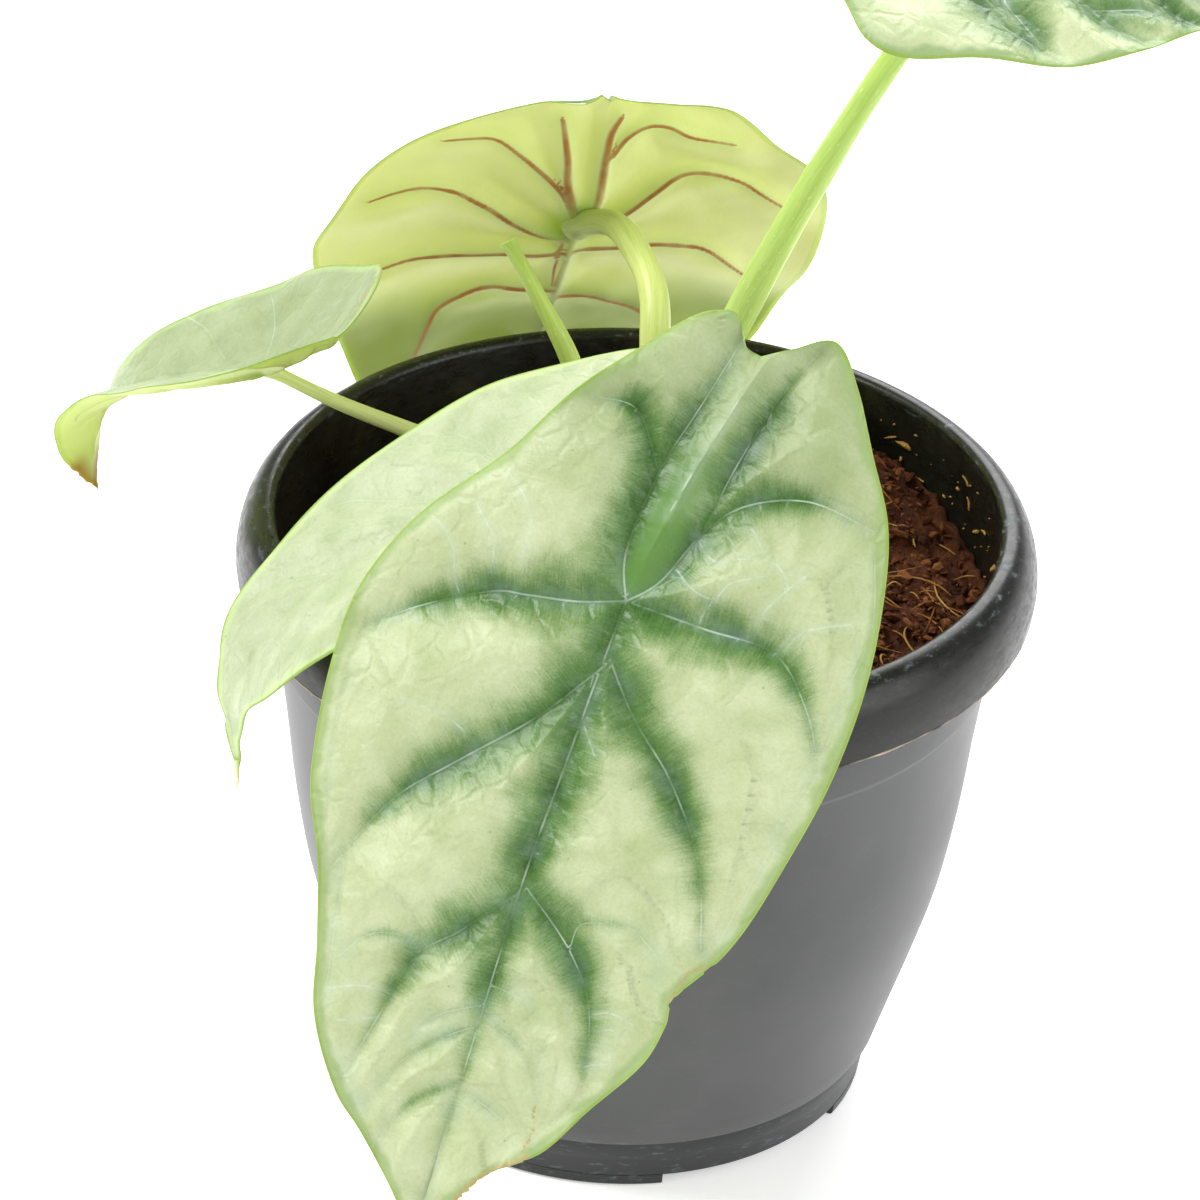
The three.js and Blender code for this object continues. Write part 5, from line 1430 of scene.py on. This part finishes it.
def crown_stem(skin):
    """The short ringed stem that all the stalks grow from."""
    around = CROWN_SEGMENTS
    levels = [(CROWN_BOTTOM, 0.8), (83, 0.96), (86, 0.93), (89, 1.0), (91.5, 0.94), (94, 1.0), (96.5, 0.93),
              (98.5, 0.86), (100, 0.66), (100.8, 0.36), (CROWN_TOP, 0.08)]
    centre_x, centre_y = CROWN_CENTRE
    points = []
    for height, share in levels:
        for way_x, way_y, _ in level_ring(1, height, around):
            knob = 1 + 0.06 * noise.noise(Vector((2.2 * way_x, 2.2 * way_y, height * 0.3)))
            radius = (CROWN_RADIUS - 0.4) * share * knob
            points.append((centre_x + radius * way_x, centre_y + radius * way_y, height))
    faces = grid_faces(len(levels), around, closed=True).tolist()
    last = (len(levels) - 1) * around
    faces += [list(range(around))[::-1], list(range(last, last + around))]
    piece = make_piece("crown_stem", points, faces, [skin])
    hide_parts("crown")
    return piece


def sheath(name, papery, opening_degrees, height):
    """A papery sheath that wraps a stalk's foot and ends in a ragged point."""
    route, foot, _ = STALKS[name]
    line, length = stalk_line(route, STALK_STEPS)
    steps = max(8, round(STALK_STEPS * height / length))
    around = SHEATH_SEGMENTS
    wrap = math.radians(300)
    start_angle = math.radians(opening_degrees)
    middle = line[:steps + 1]
    outer, inner = [], []
    for k, place in enumerate(middle):
        share = k / steps
        half = wrap / 2 * (1 - share**1.6) ** 0.6 + 0.02
        radius = foot * 1.28 + 1.1 * (1 - share) + 0.5 * math.sin(3 * share)
        for j in range(around + 1):
            angle = start_angle + half * (2 * j / around - 1)
            flutter = 1 + 0.05 * noise.noise(Vector((3 * math.cos(angle), 3 * math.sin(angle), 6 * share)))
            way = np.array([math.cos(angle), math.sin(angle), 0.0])
            lift = np.array([0, 0, -2.0 * (1 - share)])
            outer.append(place + way * (radius * flutter + 0.3) + lift)
            inner.append(place + way * radius * flutter + lift)
    size = around + 1
    count = len(outer)
    faces = grid_faces(steps + 1, size).tolist()
    faces += grid_faces(steps + 1, size, start=count, flipped=True).tolist()
    border = (
        [(0, j) for j in range(size)] + [(k, size - 1) for k in range(1, steps + 1)]
        + [(steps, j) for j in range(size - 2, -1, -1)] + [(k, 0) for k in range(steps - 1, 0, -1)]
    )
    rim = [k * size + j for k, j in border]
    for a, b in zip(rim, rim[1:] + rim[:1]):
        faces.append([b, a, a + count, b + count])
    piece = make_piece("sheath_" + name, outer + inner, faces, [papery], sharp_degrees=60)
    return piece


def drip_tip(skin):
    """The thread-like pale tip of the left front leaf, which ends in a tiny curl."""
    leaf = LEAVES["left_front"]
    tip_u, tip_v = leaf["plan"]["right"][-1]
    v = np.array([tip_v - 3, tip_v - 0.5])
    _, out, right = blade_axes(leaf["stations"], v)
    base = midrib_places(leaf, v) + right * tip_u - out * (leaf["quilt"] / 2 + 0.3)
    way = (base[1] - base[0]) / np.linalg.norm(base[1] - base[0])
    curl = [base[0], base[1], base[1] + way * 2.5 + (0.1, 0, 0), base[1] + way * 4.4 + (-0.3, 0, 0.2)]
    line, _ = stalk_line(curl, TIP_STEPS)
    from_base = np.linspace(0, 1, TIP_STEPS + 1)
    points, faces = tube(line, 0.55 - 0.38 * from_base**0.8, TIP_SIDES)
    share = np.repeat(from_base, TIP_SIDES)
    place = np.stack([share, share * 7, 0 * share], 1)
    attributes = {"stalk_share": share, "stalk_place": place}
    piece = make_piece("drip_tip_left_front", points, faces, [skin], attributes=attributes, sharp_degrees=60)
    return piece


# Each softbox: its place and what it points at in metres, its size in metres and its power in watts
SOFTBOXES = {
    "key_softbox": ((-0.85, 0.0, 1.15), (0.0, -0.02, 0.12), 0.6, 16.5),
    "back_softbox": ((0.2, 1.2, 0.95), (0.0, 0.05, 0.12), 1.1, 20.0),
    "right_softbox": ((1.15, -0.55, 0.65), (0.0, 0.0, 0.12), 1.0, 11.0),
}
SKY_STRENGTH = 0.42
PAPER_REACH = 6.0
PAPER_GLOW = 0.4
# The camera, fitted to the pot's rim, wall and foot: its place in metres, its axes and its lens in mm
CAMERA_PLACE = (0.0, -0.82888, 0.59784)
CAMERA_FORWARD = Vector((-0.00635, 0.85449, -0.51944))
CAMERA_RIGHT = Vector((0.99900, 0.02846, 0.03461))
CAMERA_LENS = 165.7
CAMERA_SENSOR = 36.0


def studio():
    """A plain white sweep under soft light, and the camera where the photograph was taken from."""
    scene = bpy.context.scene
    scene.view_settings.view_transform = "Standard"
    world = bpy.data.worlds.new("white_studio")
    world.use_nodes = True
    world.node_tree.nodes["Background"].inputs["Color"].default_value = (1, 1, 1, 1)
    world.node_tree.nodes["Background"].inputs["Strength"].default_value = SKY_STRENGTH
    scene.world = world
    paper, _, paper_shader = new_material("white_paper", Roughness=0.9)
    paper_shader.inputs["Base Color"].default_value = linear_colour("#fbfbfb")
    # Paper lit from below as on a light table, so that it stays white
    paper_shader.inputs["Emission Color"].default_value = linear_colour("#ffffff")
    paper_shader.inputs["Emission Strength"].default_value = PAPER_GLOW
    mesh = bpy.data.meshes.new("paper_sweep")
    corners = [(PAPER_REACH * x, PAPER_REACH * y, 0) for x, y in ((-1, -1), (1, -1), (1, 1), (-1, 1))]
    mesh.from_pydata(corners, [], [(0, 1, 2, 3)])
    mesh.materials.append(paper)
    floor = bpy.data.objects.new("paper_sweep", mesh)
    floor.location.z = -0.0002
    scene.collection.objects.link(floor)
    for name, (place, aim, size, power) in SOFTBOXES.items():
        light = bpy.data.lights.new(name, "AREA")
        light.shape = "SQUARE"
        light.size = size
        light.energy = power
        lamp = bpy.data.objects.new(name, light)
        lamp.location = place
        lamp.rotation_euler = (Vector(aim) - Vector(place)).to_track_quat("-Z", "Y").to_euler()
        scene.collection.objects.link(lamp)
    camera = bpy.data.cameras.new("camera")
    camera.sensor_width = CAMERA_SENSOR
    camera.lens = CAMERA_LENS
    camera.clip_start = 0.05
    camera.clip_end = 50.0
    eye = bpy.data.objects.new("camera", camera)
    up = CAMERA_RIGHT.cross(CAMERA_FORWARD).normalized()
    rotation = Matrix((CAMERA_RIGHT, up, -CAMERA_FORWARD)).transposed().to_4x4()
    eye.matrix_world = Matrix.Translation(CAMERA_PLACE) @ rotation
    scene.collection.objects.link(eye)
    scene.camera = eye


SILVER_STOPS = [(0.0, "#ced7ae"), (0.3, "#c1cca1"), (0.5, "#9db27e"), (0.74, "#648a49"), (1.0, "#3e6827")]
PALE_STOPS = [(0.0, "#c4cdab"), (0.5, "#bac69c"), (1.0, "#a0b37e")]
SOFT_STOPS = [(0.0, "#acb890"), (0.5, "#a1b082"), (1.0, "#879c6c")]
DUSKY_STOPS = [(0.0, "#d6dfb6"), (0.3, "#b2c394"), (0.7, "#6c8d55"), (1.0, "#466c36")]
PAINTED_SHADE_STOPS = [(0.0, "#aab58c"), (0.3, "#8ea070"), (0.7, "#567542"), (1.0, "#37582a")]
BACKLIT_PAINTED_STOPS = [(0.25, "#dee8a0"), (0.5, "#e5eeac"), (0.8, "#edf4bc")]
UNDER_STOPS = [(0.25, "#bdd070"), (0.5, "#c8d880"), (0.8, "#d3e092")]

silver = silver_cuticle("silver_cuticle", SILVER_STOPS, "#d3e4d8", 0.62, "#93ad6a", "#a3b58c", 0.42)
pale = silver_cuticle("pale_young_cuticle", PALE_STOPS, "#e6efd2", 0.15, "#bfd492", "#e0e8cc", 0.3)
soft = silver_cuticle("soft_silver_cuticle", SOFT_STOPS, "#e2eee6", 0.3, "#b0c98a", "#c4d4ac", 0.3)
dusky = silver_cuticle("dusky_silver_cuticle", DUSKY_STOPS, "#cfe0d4", 0.45, "#86a566", "#a8bc96", 0.5)
# Painted shade: the back leaf's upper skin is a darker copy of the silver cuticle
deep = silver_cuticle("silver_cuticle_painted_shade", PAINTED_SHADE_STOPS, "#b4c8ba", 0.4, "#6f8f50", "#a8bc96", 0.4)
# Painted light and shade: the back leaf's underside is painted paler and brighter, as if lit through from
# behind, and painted a deeper green low down behind the pot
backlit_painted_under = leaf_underside("underside_painted_backlit", BACKLIT_PAINTED_STOPS, "#b66e28", 0.88, 0.35, 0.9)
green_under = leaf_underside("leaf_underside", UNDER_STOPS, "#a2883a", 0.45, 0.3, 0.0)

blade("front", [silver, green_under])
blade("back", [deep, backlit_painted_under])
blade("left_front", [pale, green_under])
blade("left", [soft, green_under])
blade("right", [dusky, green_under])

fresh_stalk = stalk_skin("fresh_green_stalk", "#c6dc86", "#bdd872", "#b2d067", "#e0eebc", 0.6)
blanched_stalk = stalk_skin("blanched_stalk", "#d3dc8e", "#d5e088", "#c6d77c", "#e8f0ba", 0.3)
# Painted light: the left stalk lies in shade under its leaf, and its skin is painted paler to stand in for
# light
painted_light_stalk = stalk_skin("young_stalk_painted_lighter", "#eaf2ac", "#ebf4a6", "#e2ee98", "#f2f6cc", 0.3)
stub_stalk = stalk_skin("cut_green_stalk", "#cbdc84", "#bfd26c", "#a3bb52", "#d8e8a4", 0.4)
tip_skin = stalk_skin("pale_leaf_tip", "#cfe39c", "#eee6a8", "#f3e2a6", "#f6ecc0", 0.2)
for stalk_name, stalk_material in (
    ("front", fresh_stalk), ("left_front", fresh_stalk), ("left", painted_light_stalk), ("back", blanched_stalk),
    ("right", fresh_stalk), ("stub", stub_stalk),
):
    stalk(stalk_name, stalk_material)
drip_tip(tip_skin)

plastic = moulded_polypropylene()
pot_shell(plastic)
foot_blocks(plastic)
lip_flash(worn_flash())

damp_husk = husk_fibre("damp_coir", [(0.35, "#26120b"), (0.6, "#4f2817"), (0.95, "#774628")], 0.9, 900.0)
crumb_husk = husk_fibre("coir_crumb", [(0.3, "#2c150c"), (0.6, "#63331c"), (1.0, "#9c6238")], 0.9, 1100.0)
fibre_husk = husk_fibre("coir_fibre", [(0.15, "#6a3517"), (0.5, "#9c6228"), (0.9, "#c99c50")], 0.6, 500.0)
draw = random.Random(11)
coir_fill(damp_husk)
coir_crumbs(crumb_husk, draw)
coir_fibres(fibre_husk, draw)
coir_on_wall(fibre_husk, draw)

crown_stem(crown_skin())
papery = dry_sheath_skin()
for stalk_name, opening, sheath_height in (
    ("back", 90, 17), ("right", -10, 20), ("left", 180, 11), ("stub", 120, 15),
):
    sheath(stalk_name, papery, opening, sheath_height)

studio()
